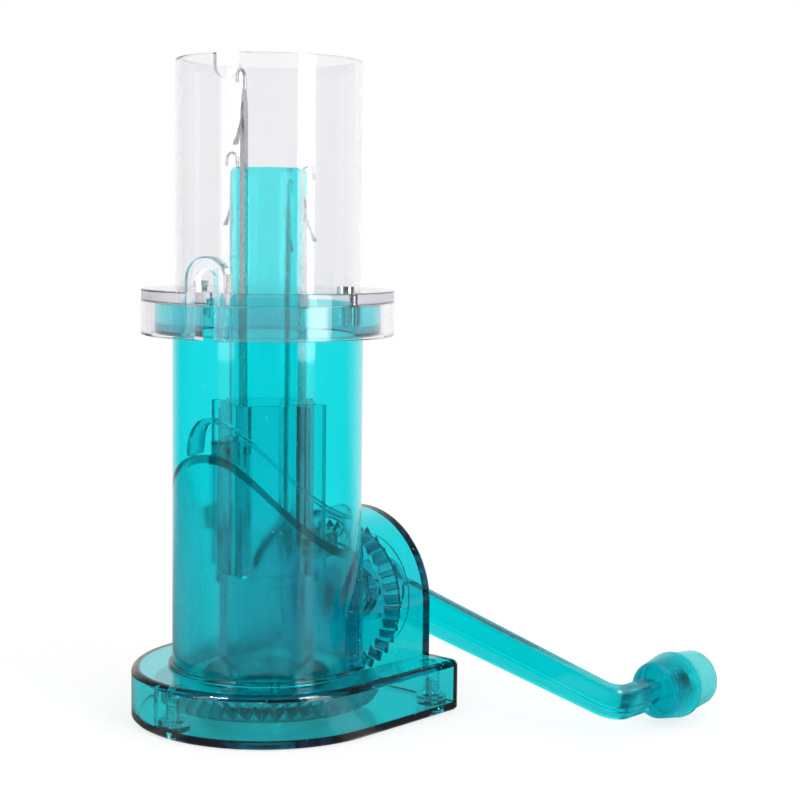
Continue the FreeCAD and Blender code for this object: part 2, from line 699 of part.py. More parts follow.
def make_outer_tube():
    bore = d.tube_radius - d.wall
    foot_top = d.base_height + d.foot_height
    body = turned_piece("outer_tube", [
        (d.lip_radius, d.tube_foot),
        (d.tube_radius, d.tube_foot),
        (d.tube_radius, d.base_height),
        (d.foot_radius, d.base_height),
        (d.foot_radius, foot_top),
        (d.tube_radius, foot_top),
        (d.tube_radius, d.flange_low),
        (d.flange_radius, d.flange_low),
        (d.flange_radius, d.flange_top),
        (d.flange_radius - d.flange_wall, d.flange_top),
        (d.flange_radius - d.flange_wall, d.flange_floor),
        (d.tube_radius, d.flange_floor),
        (d.tube_radius, d.flange_top),
        (bore, d.flange_top),
        (bore, d.base_height),
        (d.lip_radius, d.base_height),
    ])

    def is_soft(edge):
        rims = [(d.foot_radius, foot_top), (d.flange_radius, d.flange_low), (d.flange_radius, d.flange_top)]
        return any(is_ring(edge, radius.value, height.value) for radius, height in rims)

    round_edges(body, "tube_rims", d.rim_round, is_soft)
    places = cover_screw_places(as_size(0.0))
    bosses = circles_at(body, "cover_boss_circles", d.flange_floor - d.overlap, places, d.cover_boss_radius)
    pad(body, "cover_bosses", bosses, d.flange_top - d.flange_floor + d.overlap)
    pilot_radius = d.screw_radius + d.screw_room / 2
    pilots = circles_at(body, "cover_pilot_circles", d.flange_top - d.cover_pilot, places, pilot_radius)
    pocket(body, "cover_pilots", pilots, d.cover_pilot + d.cut_over)
    keep(body)


def make_yarn_cover():
    bore = d.cover_radius - d.cover_wall
    body = turned_piece("yarn_cover", [
        (bore, d.flange_top),
        (d.collar_bore, d.flange_top),
        (d.collar_bore, d.collar_low),
        (d.collar_radius, d.collar_low),
        (d.collar_radius, d.collar_top),
        (d.cover_radius, d.collar_top),
        (d.cover_radius, d.cover_height),
        (bore, d.cover_height),
    ])

    def is_rim(edge):
        rims = [(d.collar_radius, d.collar_low), (d.collar_radius, d.collar_top),
                (d.cover_radius, d.cover_height), (bore, d.cover_height)]
        return any(is_ring(edge, radius.value, height.value) for radius, height in rims)

    round_edges(body, "cover_rims", d.cover_round, is_rim)
    tab_face = -(d.collar_radius + d.guide_proud)
    tab = new_sketch(body, "guide_outline", "YZ_Plane", tab_face)
    add_arch(tab, d.guide_half_width, d.collar_low, d.guide_centre)
    pad(body, "yarn_guide", tab, d.guide_thickness)

    def is_tab_edge(edge):
        return in_cross_plane(edge, tab_face) and edge.BoundBox.ZMin > d.collar_low.value - SLACK

    round_edges(body, "guide_edges", d.rim_round, is_tab_edge)
    slot = new_sketch(body, "slot_outline", "YZ_Plane", tab_face - d.cut_over)
    add_arch(slot, d.slot_half_width, d.collar_low - d.cut_over, d.guide_centre)
    pocket(body, "yarn_slot", slot, d.slot_depth + d.cut_over)
    notch = new_sketch(body, "notch_outline", "YZ_Plane", -(d.cover_radius + d.cut_over))
    add_arch(notch, d.notch_half_width, d.cover_height + d.cut_over, d.notch_centre, upward=False)
    pocket(body, "rim_notch", notch, d.cover_radius)
    turn = d.guide_angle - FULL_TURN / 2
    hole_radius = d.screw_radius + d.screw_room
    holes = circles_at(body, "cover_screw_circles", d.flange_top, cover_screw_places(turn), hole_radius)
    pocket(body, "cover_screw_holes", holes, d.collar_top - d.flange_top)
    bind(body, "Placement.Rotation.Yaw", turn)
    keep(body)


def make_cover_screws():
    """The screws that hold the cover on the tube's flange, heads up."""
    screws = []
    for number, (x_place, y_place) in enumerate(cover_screw_places(as_size(0.0)), start=1):
        screw = make_screw(f"cover_screw_{number}", d.cover_screw_length)
        screw.Placement = Placement(Vector(), Rotation(Vector(1, 0, 0), FULL_TURN / 2))
        bind(screw, "Placement.Base.x", x_place)
        bind(screw, "Placement.Base.y", y_place)
        bind(screw, "Placement.Base.z", d.collar_top + d.screw_head_height)
        screws.append(screw)
    group("cover_screws", screws)


# Cams

def cam_height(degrees):
    """Height of the cam's edge in one direction: one peak with unlike flanks, flat elsewhere."""
    turn = (degrees - d.cam_peak_angle.value + FULL_TURN / 2) % FULL_TURN - FULL_TURN / 2
    power = d.cam_rise_power.value if turn > 0 else d.cam_fall_power.value
    return d.cam_low.value + d.cam_rise.value * math.cos(math.radians(turn) / 2) ** power


def even_directions(start, end):
    """Directions from one to another, about one cam step apart."""
    count = round((end - start) / CAM_STEP)
    return [start + (end - start) * step / count for step in range(count + 1)]


def cam_segment(directions, low_at, high_at):
    """A stretch of cam through several directions, whose lower and upper edges follow two rules."""
    sections = []
    for degrees in directions:
        out = Vector(math.cos(math.radians(degrees)), math.sin(math.radians(degrees)), 0)
        low, high = Vector(0, 0, low_at(degrees)), Vector(0, 0, high_at(degrees))
        inner, outer = out * d.cam_inner.value, out * d.cam_outer.value
        sections.append(Part.makePolygon([inner + low, outer + low, outer + high, inner + high, inner + low]))
    return Part.makeLoft(sections, True, False)


def make_lower_cam():
    """A sleeve that stands on the tube's inner lip, with the cam as its upper edge."""
    half_turn = FULL_TURN / 2
    peak = d.cam_peak_angle.value
    halves = []
    for start in (peak, peak + half_turn):
        directions = even_directions(start, start + half_turn)
        halves.append(cam_segment(directions, lambda degrees: d.base_height.value, cam_height))
    keep(fixed_shape("lower_cam", halves[0].fuse(halves[1])))


def arch_rise(degrees, reach):
    """Share of the upper cam's gap in one direction: a quarter ellipse up to the crown, then full."""
    before_crown = max(0.0, d.cam_crown_angle.value - degrees)
    return math.sqrt(max(0.0, 1.0 - (before_crown / reach.value) ** 2))


def make_upper_cam():
    """A rib on the tube's wall that arches over the peak and then pushes each butt down again."""
    rise = (d.cam_gap - d.cam_foot_gap).value

    def low_at(degrees):
        return cam_height(degrees) + d.cam_foot_gap.value + rise * arch_rise(degrees, d.cam_arch_inner)

    def high_at(degrees):
        arch = rise * arch_rise(degrees, d.cam_arch_outer)
        return cam_height(degrees) + d.cam_foot_gap.value + d.cam_rib.value + arch

    crown = d.cam_crown_angle.value
    arch_turns = [math.radians(QUARTER_TURN * step / ARCH_STEPS) for step in range(ARCH_STEPS)]
    directions = [crown - d.cam_arch_outer.value * math.cos(turn) for turn in arch_turns]
    directions += even_directions(crown, d.cam_rib_end.value)
    keep(fixed_shape("upper_cam", cam_segment(directions, low_at, high_at)))


# Bevel gears, in the frame of their common apex

def cone_tooth(pitch_point, away, module):
    """One straight bevel tooth: a wedge that shrinks towards the apex at the origin."""
    half_pitch = math.pi * module / 2
    slope = math.tan(math.radians(d.tooth_flank.value))
    side = Vector(0, 1, 0)
    tip, root = d.tooth_height.value, (d.tooth_depth + d.tooth_sink).value
    middle = half_pitch / 2 * d.tooth_fill.value
    outer = [
        pitch_point + away * tip + side * (middle - slope * tip),
        pitch_point + away * tip - side * (middle - slope * tip),
        pitch_point - away * root - side * (middle + slope * root),
        pitch_point - away * root + side * (middle + slope * root),
    ]
    shrink = 1.0 - d.gear_face.value / pitch_point.Length
    wires = []
    for scale in (1.0, shrink):
        corners = [corner * scale for corner in outer]
        wires.append(Part.makePolygon(corners + corners[:1]))
    return Part.makeLoft(wires, True, True)


def turned_shape(corners, axis):
    """A solid of revolution from a closed half section."""
    face = Part.Face(Part.makePolygon(corners + corners[:1]))
    return face.revolve(Vector(0, 0, 0), axis, FULL_TURN)


def toothed(blank, tooth, axis, count, phase):
    teeth = []
    for number in range(count):
        copy = tooth.copy()
        copy.rotate(Vector(0, 0, 0), axis, phase + number * FULL_TURN / count)
        teeth.append(copy)
    return blank.multiFuse(teeth).removeSplitter()


def gear_values():
    """Pitch radii at the large end, module, and shrink factor at the small end."""
    crank_radius = d.crank_pitch_radius.value
    ring_radius = crank_radius * d.ring_teeth.value / d.crank_teeth.value
    module = 2 * crank_radius / d.crank_teeth.value
    shrink = 1.0 - d.gear_face.value / math.hypot(crank_radius, ring_radius)
    return crank_radius, ring_radius, module, shrink


def make_crank_gear():
    """Bevel gear on a shaft along X, with a square end for the arm. One tooth points straight down."""
    crank_radius, ring_radius, module, shrink = gear_values()
    pitch = Vector(ring_radius, 0, -crank_radius)
    along = pitch / pitch.Length
    away = Vector(along.z, 0, -along.x)
    x_axis = Vector(1, 0, 0)
    root_large = pitch - away * d.tooth_depth.value
    root_small = root_large * shrink
    web, back = root_small.x + d.gear_web_inset.value, root_large.x + d.gear_back.value
    hub, hub_back = d.gear_hub_radius.value, (d.bearing_start - d.gear_end_play).value
    shaft, shoulder = d.shaft_radius.value, d.hub_front.value
    blank = turned_shape([
        Vector(root_small.x, 0, 0),
        Vector(root_small.x, 0, -hub),
        Vector(web, 0, -hub),
        Vector(web, 0, root_small.z + d.gear_rim_inset.value),
        root_small,
        root_large,
        Vector(back, 0, root_large.z),
        Vector(back, 0, -hub),
        Vector(hub_back, 0, -hub),
        Vector(hub_back, 0, -shaft),
        Vector(shoulder, 0, -shaft),
        Vector(shoulder, 0, 0),
    ], x_axis)
    gear = toothed(blank, cone_tooth(pitch, away, module), x_axis, int(d.crank_teeth.value), 0.0)
    side, square_start = d.drive_square.value, shoulder - d.overlap.value
    corner = Vector(square_start, -side / 2, -side / 2)
    square = Part.makeBox(d.drive_end.value - square_start, side, side, corner)
    square.rotate(Vector(0, 0, 0), x_axis, d.crank_angle.value)
    end = Vector(d.drive_end.value, 0, 0)
    pilot_radius = (d.screw_radius + d.screw_room / 2).value
    pilot = Part.makeCylinder(pilot_radius, d.drive_hole.value, end, -x_axis)
    piece = keep(fixed_shape("crank_gear", gear.fuse(square).cut(pilot).removeSplitter().Solids[0]))
    bind(piece, "Placement.Base.z", d.axis_height)


def make_ring_gear():
    """Bevel ring under the tube. A gap between two teeth faces the crank gear."""
    crank_radius, ring_radius, module, shrink = gear_values()
    pitch = Vector(ring_radius, 0, -crank_radius)
    along = pitch / pitch.Length
    away = Vector(-along.z, 0, along.x)
    z_axis = Vector(0, 0, 1)
    drop = -d.axis_height.value
    root_large = pitch - away * d.tooth_depth.value
    root_small = root_large * shrink
    hub, bore = d.ring_hub_radius.value, d.ring_bore.value
    low, under, seat = (size.value + drop for size in (d.ring_low, d.ring_under, d.ring_seat))
    blank = turned_shape([
        Vector(bore, 0, low),
        Vector(hub, 0, low),
        Vector(hub, 0, under),
        Vector(root_large.x - d.ring_rim_inset.value, 0, under),
        root_large,
        root_small,
        Vector(root_small.x - d.ring_seat_inset.value, 0, seat),
        Vector(bore, 0, seat),
    ], z_axis)
    count = int(d.ring_teeth.value)
    half_step = FULL_TURN / count / 2
    gear = toothed(blank, cone_tooth(pitch, away, module), z_axis, count, half_step)
    hole_radius = (d.screw_radius + d.screw_room).value
    head_radius = (d.screw_head_radius + d.screw_room).value
    head_depth = (d.screw_head_height + d.ring_screw_sink).value
    for place in ring_screw_points():
        foot = Vector(place.x, place.y, low)
        gear = gear.cut(Part.makeCylinder(hole_radius, seat - low, foot))
        gear = gear.cut(Part.makeCylinder(head_radius, head_depth, foot))
    piece = keep(fixed_shape("ring_gear", gear))
    bind(piece, "Placement.Base.z", d.axis_height)


def ring_screw_points():
    """Places of the screws that hold the needle cylinder on the ring gear, between the needles."""
    points = []
    for number in range(RING_SCREW_COUNT):
        from_needle = QUARTER_TURN / 2 + number * FULL_TURN / RING_SCREW_COUNT
        angle = math.radians(d.needle_angle.value + from_needle)
        points.append(Vector(math.cos(angle), math.sin(angle), 0) * d.ring_screw_place.value)
    return points


def make_ring_gear_screws():
    screws = []
    for number, place in enumerate(ring_screw_points(), start=1):
        screw = make_screw(f"ring_gear_screw_{number}", d.ring_screw_length)
        screw.Placement = Placement(place, Rotation())
        bind(screw, "Placement.Base.z", d.ring_low + d.ring_screw_sink)
        screws.append(screw)
    group("ring_gear_screws", screws)


# Needle cylinder, needles, latches and carriers

def make_needle_cylinder():
    body = turned_piece("needle_cylinder", [
        (d.cord_radius, d.ring_seat),
        (d.drum_foot_radius, d.ring_seat),
        (d.drum_foot_radius, d.drum_foot_top),
        (d.drum_radius, d.drum_foot_top),
        (d.drum_radius, d.stop_low),
        (d.stop_radius, d.stop_low),
        (d.stop_radius, d.stop_top),
        (d.drum_radius, d.stop_top),
        (d.drum_radius, d.drum_shoulder),
        (d.column_radius, d.drum_shoulder),
        (d.column_radius, d.column_top - d.column_bevel_height),
        (d.column_radius - d.column_bevel_width, d.column_top),
        (d.cord_radius, d.column_top),
    ])
    ribs = new_sketch(body, "rib_outlines", "XY_Plane", d.stop_top)
    for side in (1, -1):
        near, far = d.rib_gap * side, (d.rib_gap + d.rib_thickness) * side
        inner, outer = d.column_radius, d.rib_radius
        add_outline(ribs, [(inner, near), (outer, near), (outer, far), (inner, far)])
    rib_pad = pad(body, "guide_ribs", ribs, d.drum_shoulder - d.stop_top)
    repeat_round_axis(body, "guide_ribs_round", [rib_pad], NEEDLE_COUNT)
    slot = rectangle(body, "needle_slot_outline", d.stop_top, d.slot_floor, d.rib_radius, d.slot_side)
    slot_cut = pocket(body, "needle_slot", slot, d.column_top - d.stop_top + d.cut_over)
    repeat_round_axis(body, "needle_slots_round", [slot_cut], NEEDLE_COUNT)
    pilots = new_sketch(body, "foot_pilots", "XY_Plane", d.ring_seat)
    for place in ring_screw_points():
        place = Rotation(Vector(0, 0, 1), -d.needle_angle.value).multVec(place)
        add_circle(pilots, (place.x, place.y), d.screw_radius + d.screw_room / 2)
    pocket(body, "foot_pilot_holes", pilots, d.ring_pilot)
    bind(body, "Placement.Rotation.Yaw", d.needle_angle - FULL_TURN)
    keep(body)


def turned_to_needle(item, number, height):
    """Set a piece that is drawn in the plane of a needle at +X into its own direction and height."""
    bind(item, "Placement.Rotation.Yaw", d.needle_angle - FULL_TURN + QUARTER_TURN * number)
    bind(item, "Placement.Base.z", height)


def rectangle(body, name, height, inner, outer, half_width):
    sketch = new_sketch(body, name, "XY_Plane", height)
    near, far = -half_width, half_width
    add_outline(sketch, [(inner, near), (outer, near), (outer, far), (inner, far)])
    return sketch


def make_needle(number, butt_height):
    """A flat steel needle with a bent foot, a tapered blade and a hook that opens outwards."""
    label = f"needle_{number + 1}"
    body = new_body(label)
    inner, outer, half = d.needle_inner, d.needle_inner + d.needle_depth, d.needle_half_width
    bend_height = d.hook_over_butt - d.hook_radius - d.wire_radius
    wire_start = bend_height - d.hook_neck
    taper_start = wire_start - d.taper_length
    blade = rectangle(body, f"{label}_blade_section", -d.foot_half_height, inner, outer, half)
    pad(body, f"{label}_blade", blade, taper_start + d.foot_half_height)
    foot = rectangle(body, f"{label}_foot_section", -d.foot_half_height, inner, d.foot_reach, half)
    pad(body, f"{label}_foot", foot, d.foot_half_height * 2)
    wide = rectangle(body, f"{label}_taper_low", taper_start, inner, outer, half)
    wire_place, tip = inner + d.wire_inset, d.taper_tip
    narrow = rectangle(body, f"{label}_taper_high", wire_start, wire_place - tip, wire_place + tip, tip)
    taper = body.newObject("PartDesign::AdditiveLoft", f"{label}_taper")
    taper.Profile = wide
    taper.Sections = [narrow]
    taper.Ruled = True
    doc.recompute()
    wire_foot = wire_start - d.wire_sink
    section = new_sketch(body, f"{label}_wire_section", "XY_Plane", wire_foot)
    add_circle(section, (wire_place, 0.0), d.wire_radius)
    path = hook_path(body, f"{label}_hook_path", wire_place, wire_foot, bend_height)
    hook = body.newObject("PartDesign::AdditivePipe", f"{label}_hook")
    hook.Profile = section
    hook.Spine = path
    doc.recompute()
    latch_height = d.hook_over_butt - d.latch_below_hook
    slot = new_sketch(body, f"{label}_latch_slot", "XZ_Plane")
    slot_inner, slot_outer = inner + d.latch_slot_floor, outer + d.cut_over
    slot_low, slot_high = latch_height - d.latch_slot_reach, latch_height + d.latch_slot_reach
    add_outline(slot, [(slot_inner, slot_low), (slot_outer, slot_low),
                       (slot_outer, slot_high), (slot_inner, slot_high)])
    pocket_both_ways(body, f"{label}_latch_slit", slot, d.latch_slot * 2)
    hole = new_sketch(body, f"{label}_rivet_circle", "XZ_Plane")
    add_circle(hole, (d.latch_rivet_place, latch_height), d.rivet_radius)
    pocket_both_ways(body, f"{label}_rivet_hole", hole, d.needle_half_width * 4)
    turned_to_needle(body, number, as_size(butt_height))
    keep(body)


def hook_path(body, name, wire_place, start_height, bend_height):
    """Up the needle, over a half circle and down again at the hook's tip."""
    path = new_sketch(body, name, "XZ_Plane")
    centre_x = wire_place + d.hook_radius
    far_x = wire_place + d.hook_radius * 2
    circle = Part.Circle(flat((centre_x, bend_height)), Vector(0, 0, 1), d.hook_radius.value)
    end_height = bend_height - d.hook_drop
    rising = Part.LineSegment(flat((wire_place, start_height)), flat((wire_place, bend_height)))
    falling = Part.LineSegment(flat((far_x, bend_height)), flat((far_x, end_height)))
    up = path.addGeometry(rising, False)
    over = path.addGeometry(Part.ArcOfCircle(circle, 0.0, math.pi), False)
    down = path.addGeometry(falling, False)
    pin_point(path, up, 1, (wire_place, start_height))
    pin_point(path, up, 2, (wire_place, bend_height))
    drive(path, "DistanceY", -1, 1, over, 3, bend_height)
    path.addConstraint(Sketcher.Constraint("Coincident", up, 2, over, 2))
    path.addConstraint(Sketcher.Constraint("Coincident", over, 1, down, 1))
    pin_point(path, down, 1, (far_x, bend_height))
    pin_point(path, down, 2, (far_x, end_height))
    return path


def make_latch(number, butt_height):
    """A latch with an eye on its rivet and a spoon tip. It is drawn hanging straight down."""
    label = f"latch_{number + 1}"
    body = new_body(label)
    neck, tip, tip_width = d.latch_neck, -d.latch_length, d.latch_tip
    arm = new_sketch(body, f"{label}_arm_outline", "XZ_Plane")
    add_outline(arm, [(-neck, 0.0), (-tip_width, tip), (tip_width, tip), (neck, 0.0)])
    pad(body, f"{label}_arm", arm, d.latch_half_width * 2, both_ways=True)
    eye = new_sketch(body, f"{label}_eye_circle", "XZ_Plane")
    add_circle(eye, (0.0, 0.0), d.latch_eye)
    pad(body, f"{label}_eye", eye, d.latch_half_width * 2, both_ways=True)
    spoon = new_sketch(body, f"{label}_spoon_outline", "XZ_Plane")
    add_outline(spoon, [(0.0, tip + d.spoon_length), (-tip_width, tip),
                        (tip_width, tip - tip_width), (d.spoon_bulge, tip + tip_width)])
    pad(body, f"{label}_spoon", spoon, d.spoon_width, both_ways=True)
    hole = new_sketch(body, f"{label}_hole_circle", "XZ_Plane")
    add_circle(hole, (0.0, 0.0), d.rivet_radius + d.running_gap)
    pocket_both_ways(body, f"{label}_hole", hole, d.latch_half_width * 4)
    place_at_rivet(body, number, butt_height, Rotation(Vector(0, 1, 0), -d.latch_open.value))
    keep(body)


def place_at_rivet(item, number, butt_height, turn):
    """Set a piece drawn about the rivet on its needle."""
    heading = Rotation(Vector(0, 0, 1), d.needle_angle.value + QUARTER_TURN * number)
    rivet = Vector(d.latch_rivet_place.value, 0, (d.hook_over_butt - d.latch_below_hook).value + butt_height)
    item.Placement = Placement(heading.multVec(rivet), heading.multiply(turn))


def make_latch_rivet(number, butt_height):
    rivet = doc.addObject("Part::Cylinder", f"latch_rivet_{number + 1}")
    rivet.Label = f"latch_rivet_{number + 1}"
    bind(rivet, "Radius", d.rivet_radius)
    bind(rivet, "Height", d.needle_half_width * 2)
    across = Rotation(Vector(1, 0, 0), QUARTER_TURN)
    place_at_rivet(rivet, number, butt_height, across)
    shift = rivet.Placement.Rotation.multVec(Vector(0, 0, -d.needle_half_width.value))
    rivet.Placement.Base = rivet.Placement.Base + shift
    keep(rivet)


def make_needle_carrier(number, butt_height):
    """A slider between two guide ribs, with a butt for the cam and a pocket for the needle's foot."""
    label = f"needle_carrier_{number + 1}"
    body = new_body(label)
    tongue = rectangle(body, f"{label}_tongue_outline", -d.carrier_half_height,
                       d.carrier_inner, d.carrier_outer, d.carrier_half_width)
    pad(body, f"{label}_tongue", tongue, d.carrier_half_height * 2)
    butt = rectangle(body, f"{label}_butt_outline", -d.butt_half_size,
                     d.butt_start, d.butt_reach, d.butt_half_size)
    pad(body, f"{label}_butt", butt, d.butt_half_size * 2)
    link = rectangle(body, f"{label}_link_outline", -d.butt_half_size,
                     d.carrier_outer - d.overlap, d.butt_start + d.overlap, d.carrier_half_width)
    pad(body, f"{label}_link", link, d.butt_half_size * 2)

    def is_butt_edge(edge):
        return in_cross_plane(edge, d.butt_reach)

    round_edges(body, f"{label}_butt_round", d.butt_round, is_butt_edge)
    foot = rectangle(body, f"{label}_foot_outline", -d.foot_half_height,
                     d.carrier_inner - d.cut_over, d.foot_reach, d.needle_half_width)
    pocket(body, f"{label}_foot_pocket", foot, d.foot_half_height * 2)
    turned_to_needle(body, number, as_size(butt_height))
    keep(body)


# Crank arm, knob and their screws, drawn with the arm along -Y from the crank's axis

def swung(item):
    """Hang a piece of the crank at the photographed angle."""
    bind(item, "Placement.Rotation.Roll", d.crank_angle)
    bind(item, "Placement.Base.z", d.axis_height)


def arm_reach():
    """The elbow's outer face along Y, where the arm points along -Y."""
    return -(d.crank_length + d.elbow_over)


def make_crank_bar():
    """The arm's bar with its elbow, hub and spindle."""
    body = new_body("crank_bar")
    reach = arm_reach()
    back, elbow_inner = d.arm_front + d.arm_thickness, reach + d.elbow_width
    blank_low, blank_top = d.bar_low_end - d.cut_over, d.bar_top_hub + d.cut_over
    plan = new_sketch(body, "bar_plan", "XY_Plane", blank_low)
    add_outline(plan, [(d.arm_front, 0.0), (d.arm_front, reach), (d.elbow_reach, reach),
                       (d.elbow_reach, elbow_inner), (back, elbow_inner), (back, 0.0)])
    pad(body, "bar_blank", plan, blank_top - blank_low)
    round_edges(body, "elbow_bend", d.elbow_bend, upright_at(d.arm_front, reach))
    round_edges(body, "elbow_hollow", d.elbow_hollow, upright_at(back, elbow_inner))
    past = reach - d.cut_over
    across = d.elbow_reach - d.arm_front + d.cut_over * 2
    above, below = blank_top + d.cut_over, blank_low - d.cut_over
    upper = new_sketch(body, "bar_top_outline", "YZ_Plane", d.arm_front - d.cut_over)
    add_outline(upper, [(0.0, d.bar_top_hub), (past, d.bar_top_end), (past, above), (0.0, above)])
    pocket(body, "bar_top", upper, across)
    lower = new_sketch(body, "bar_low_outline", "YZ_Plane", d.arm_front - d.cut_over)
    add_outline(lower, [(0.0, d.bar_low_hub), (past, d.bar_low_end), (past, below), (0.0, below)])
    pocket(body, "bar_low", lower, across)

    def is_top_edge(edge):
        slope = (d.bar_top_end.value - d.bar_top_hub.value) / past.value
        on_top = all(abs(end.Z - d.bar_top_hub.value - slope * end.Y) < SLACK for end in edge.Vertexes)
        middle = edge.CenterOfMass
        return on_top and middle.y < -SLACK and middle.x < d.elbow_reach.value - SLACK

    round_edges(body, "bar_edges", d.bar_bevel, is_top_edge, kind="Chamfer")
    hub = new_sketch(body, "hub_circle", "YZ_Plane", d.hub_front)
    add_circle(hub, (0.0, 0.0), d.hub_radius)
    pad(body, "hub", hub, d.hub_back - d.hub_front)
    spindle = new_sketch(body, "spindle_circle", "YZ_Plane", d.elbow_reach - d.overlap)
    add_circle(spindle, (-d.crank_length, 0.0), d.spindle_radius)
    pad(body, "spindle", spindle, spindle_end() - d.elbow_reach + d.overlap)
    socket = new_sketch(body, "socket_outline", "YZ_Plane", d.hub_front)
    half = d.drive_square / 2 + d.running_gap
    add_outline(socket, [(-half, -half), (half, -half), (half, half), (-half, half)])
    pocket(body, "drive_socket", socket, d.drive_end + d.running_gap - d.hub_front)
    screw_hole = new_sketch(body, "hub_screw_circle", "YZ_Plane", d.hub_front)
    add_circle(screw_hole, (0.0, 0.0), d.screw_radius + d.screw_room)
    pocket(body, "hub_screw_hole", screw_hole, d.hub_back - d.hub_front)
    tip_hole = new_sketch(body, "spindle_screw_circle", "YZ_Plane", spindle_end() - d.spindle_hole)
    add_circle(tip_hole, (-d.crank_length, 0.0), d.screw_radius + d.screw_room / 2)
    pocket(body, "spindle_screw_hole", tip_hole, d.spindle_hole)
    return body


def make_crank_fin():
    """The thin fin under the bar, which follows it from the hub round the elbow."""
    body = new_body("crank_fin")
    start, face = -(d.hub_radius / 2), arm_reach() + (d.elbow_width - d.fin_thickness) / 2
    front = d.arm_front + (d.arm_thickness - d.fin_thickness) / 2
    back, inner = front + d.fin_thickness, face + d.fin_thickness
    blank_low = d.fin_low_hub - d.cut_over
    plan = new_sketch(body, "fin_plan", "XY_Plane", blank_low)
    add_outline(plan, [(front, start), (front, face), (d.fin_tip, face),
                       (d.fin_tip, inner), (back, inner), (back, start)])
    pad(body, "fin_blank", plan, d.bar_low_end + d.fin_sink - blank_low)
    round_edges(body, "fin_bend", d.fin_bend, upright_at(front, face))
    round_edges(body, "fin_hollow", d.fin_hollow, upright_at(back, inner))
    past, below = arm_reach() - d.cut_over, blank_low - d.cut_over
    edge = new_sketch(body, "fin_low_outline", "YZ_Plane", d.arm_front)
    add_outline(edge, [(0.0, d.fin_low_hub), (past, d.fin_low_end), (past, below), (0.0, below)])
    pocket(body, "fin_low", edge, d.elbow_reach - d.arm_front)
    return body


def make_crank_arm():
    """Bar and fin in one piece, as moulded."""
    arm = doc.addObject("Part::MultiFuse", "crank_arm")
    arm.Shapes = [make_crank_bar(), make_crank_fin()]
    doc.recompute()
    swung(arm)
    keep(arm)


def spindle_end():
    """End of the spindle along X, just past the floor of the knob's open end."""
    return d.knob_floor + d.knob_play


def knob_axis(x_place):
    """A point of the knob's axis, at the photographed angle of the crank."""
    along = math.radians(d.crank_angle.value)
    arm = d.crank_length.value
    return Vector(x_place, -arm * math.cos(along), d.axis_height.value - arm * math.sin(along))


def make_crank_knob():
    """A knob that widens to a ridge and ends in an open, thin-walled cup."""
    body = new_body("crank_knob")
    section = new_sketch(body, "knob_section", "XZ_Plane")
    behind = d.knob_ridge_radius - d.knob_step
    add_outline(section, [
        (d.knob_start, d.spindle_radius + d.running_gap),
        (d.knob_start, d.knob_start_radius - d.knob_bevel),
        (d.knob_start + d.knob_bevel, d.knob_start_radius),
        (d.knob_ridge - d.ridge_front, d.knob_ridge_radius),
        (d.knob_ridge + d.ridge_back, d.knob_ridge_radius),
        (d.knob_ridge + d.ridge_fall, behind),
        (d.knob_end, d.knob_end_radius),
        (d.knob_end, d.knob_end_radius - d.knob_wall),
        (d.knob_floor, behind - d.knob_wall),
        (d.knob_floor, d.spindle_radius + d.running_gap),
    ])
    revolve(body, "knob_turned", section, axis="H_Axis")
    body.Placement = Placement(knob_axis(0.0), Rotation())
    keep(body)


def make_crank_screws():
    """The screw in the arm's hub and the screw that keeps the knob on its spindle."""
    sideways = Rotation(Vector(0, 1, 0), -QUARTER_TURN)
    hub_place = Vector((d.hub_back + d.screw_head_height).value, 0, d.axis_height.value)
    knob_place = knob_axis((spindle_end() + d.screw_head_height).value)
    for label, place in (("crank_screw", hub_place), ("knob_screw", knob_place)):
        screw = make_screw(label, d.crank_screw_length)
        screw.Label = label
        screw.Placement = Placement(place, sideways)
        keep(screw)


make_base_plate()
make_base_housing()
make_base_screws()
make_outer_tube()
make_lower_cam()
make_upper_cam()
make_yarn_cover()
make_cover_screws()
make_crank_gear()
make_crank_arm()
make_crank_screws()
make_crank_knob()
make_ring_gear()
make_ring_gear_screws()
make_needle_cylinder()
for needle_number, rest_height in enumerate(BUTT_HEIGHTS):
    make_needle(needle_number, rest_height)
    make_needle_carrier(needle_number, rest_height)
    make_latch_rivet(needle_number, rest_height)
    make_latch(needle_number, rest_height)

doc.recompute()
for item in doc.Objects:
    if "Invalid" in item.State or "Error" in item.State:
        raise RuntimeError(f"{item.Label} failed: {item.State}")
os.makedirs("parts", exist_ok=True)
for piece in pieces:
    if piece.Shape.isNull() or not piece.Shape.isValid():
        raise RuntimeError(f"{piece.Label} has no sound shape")
    piece.Shape.exportStep(f"parts/{piece.Label}.step")
    print(f"{piece.Label}: {len(piece.Shape.Solids)} solid, {piece.Shape.Volume:.1f} mm3")
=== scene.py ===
"""Looks of the hand-crank cord knitting machine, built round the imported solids."""

import logging
import math
from dataclasses import dataclass, field
from enum import Enum
from typing import Any

import bpy
from mathutils import Matrix, Vector


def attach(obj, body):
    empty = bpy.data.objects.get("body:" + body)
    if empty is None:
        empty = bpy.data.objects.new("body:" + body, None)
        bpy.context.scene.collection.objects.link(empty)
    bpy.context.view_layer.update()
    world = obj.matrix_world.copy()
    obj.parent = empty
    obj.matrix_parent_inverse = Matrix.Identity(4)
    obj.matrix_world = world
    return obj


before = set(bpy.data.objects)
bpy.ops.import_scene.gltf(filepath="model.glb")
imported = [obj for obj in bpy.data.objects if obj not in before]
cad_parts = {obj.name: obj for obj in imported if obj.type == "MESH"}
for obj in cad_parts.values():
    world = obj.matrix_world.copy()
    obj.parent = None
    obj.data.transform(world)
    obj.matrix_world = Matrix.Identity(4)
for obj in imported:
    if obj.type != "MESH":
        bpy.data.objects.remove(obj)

LOG = logging.getLogger("cord_knitter")
NEEDLE_COUNT = 4
Colour = tuple[float, float, float]
Stretch = tuple[float, float, float]
Range = tuple[float, float]
SocketValue = Any


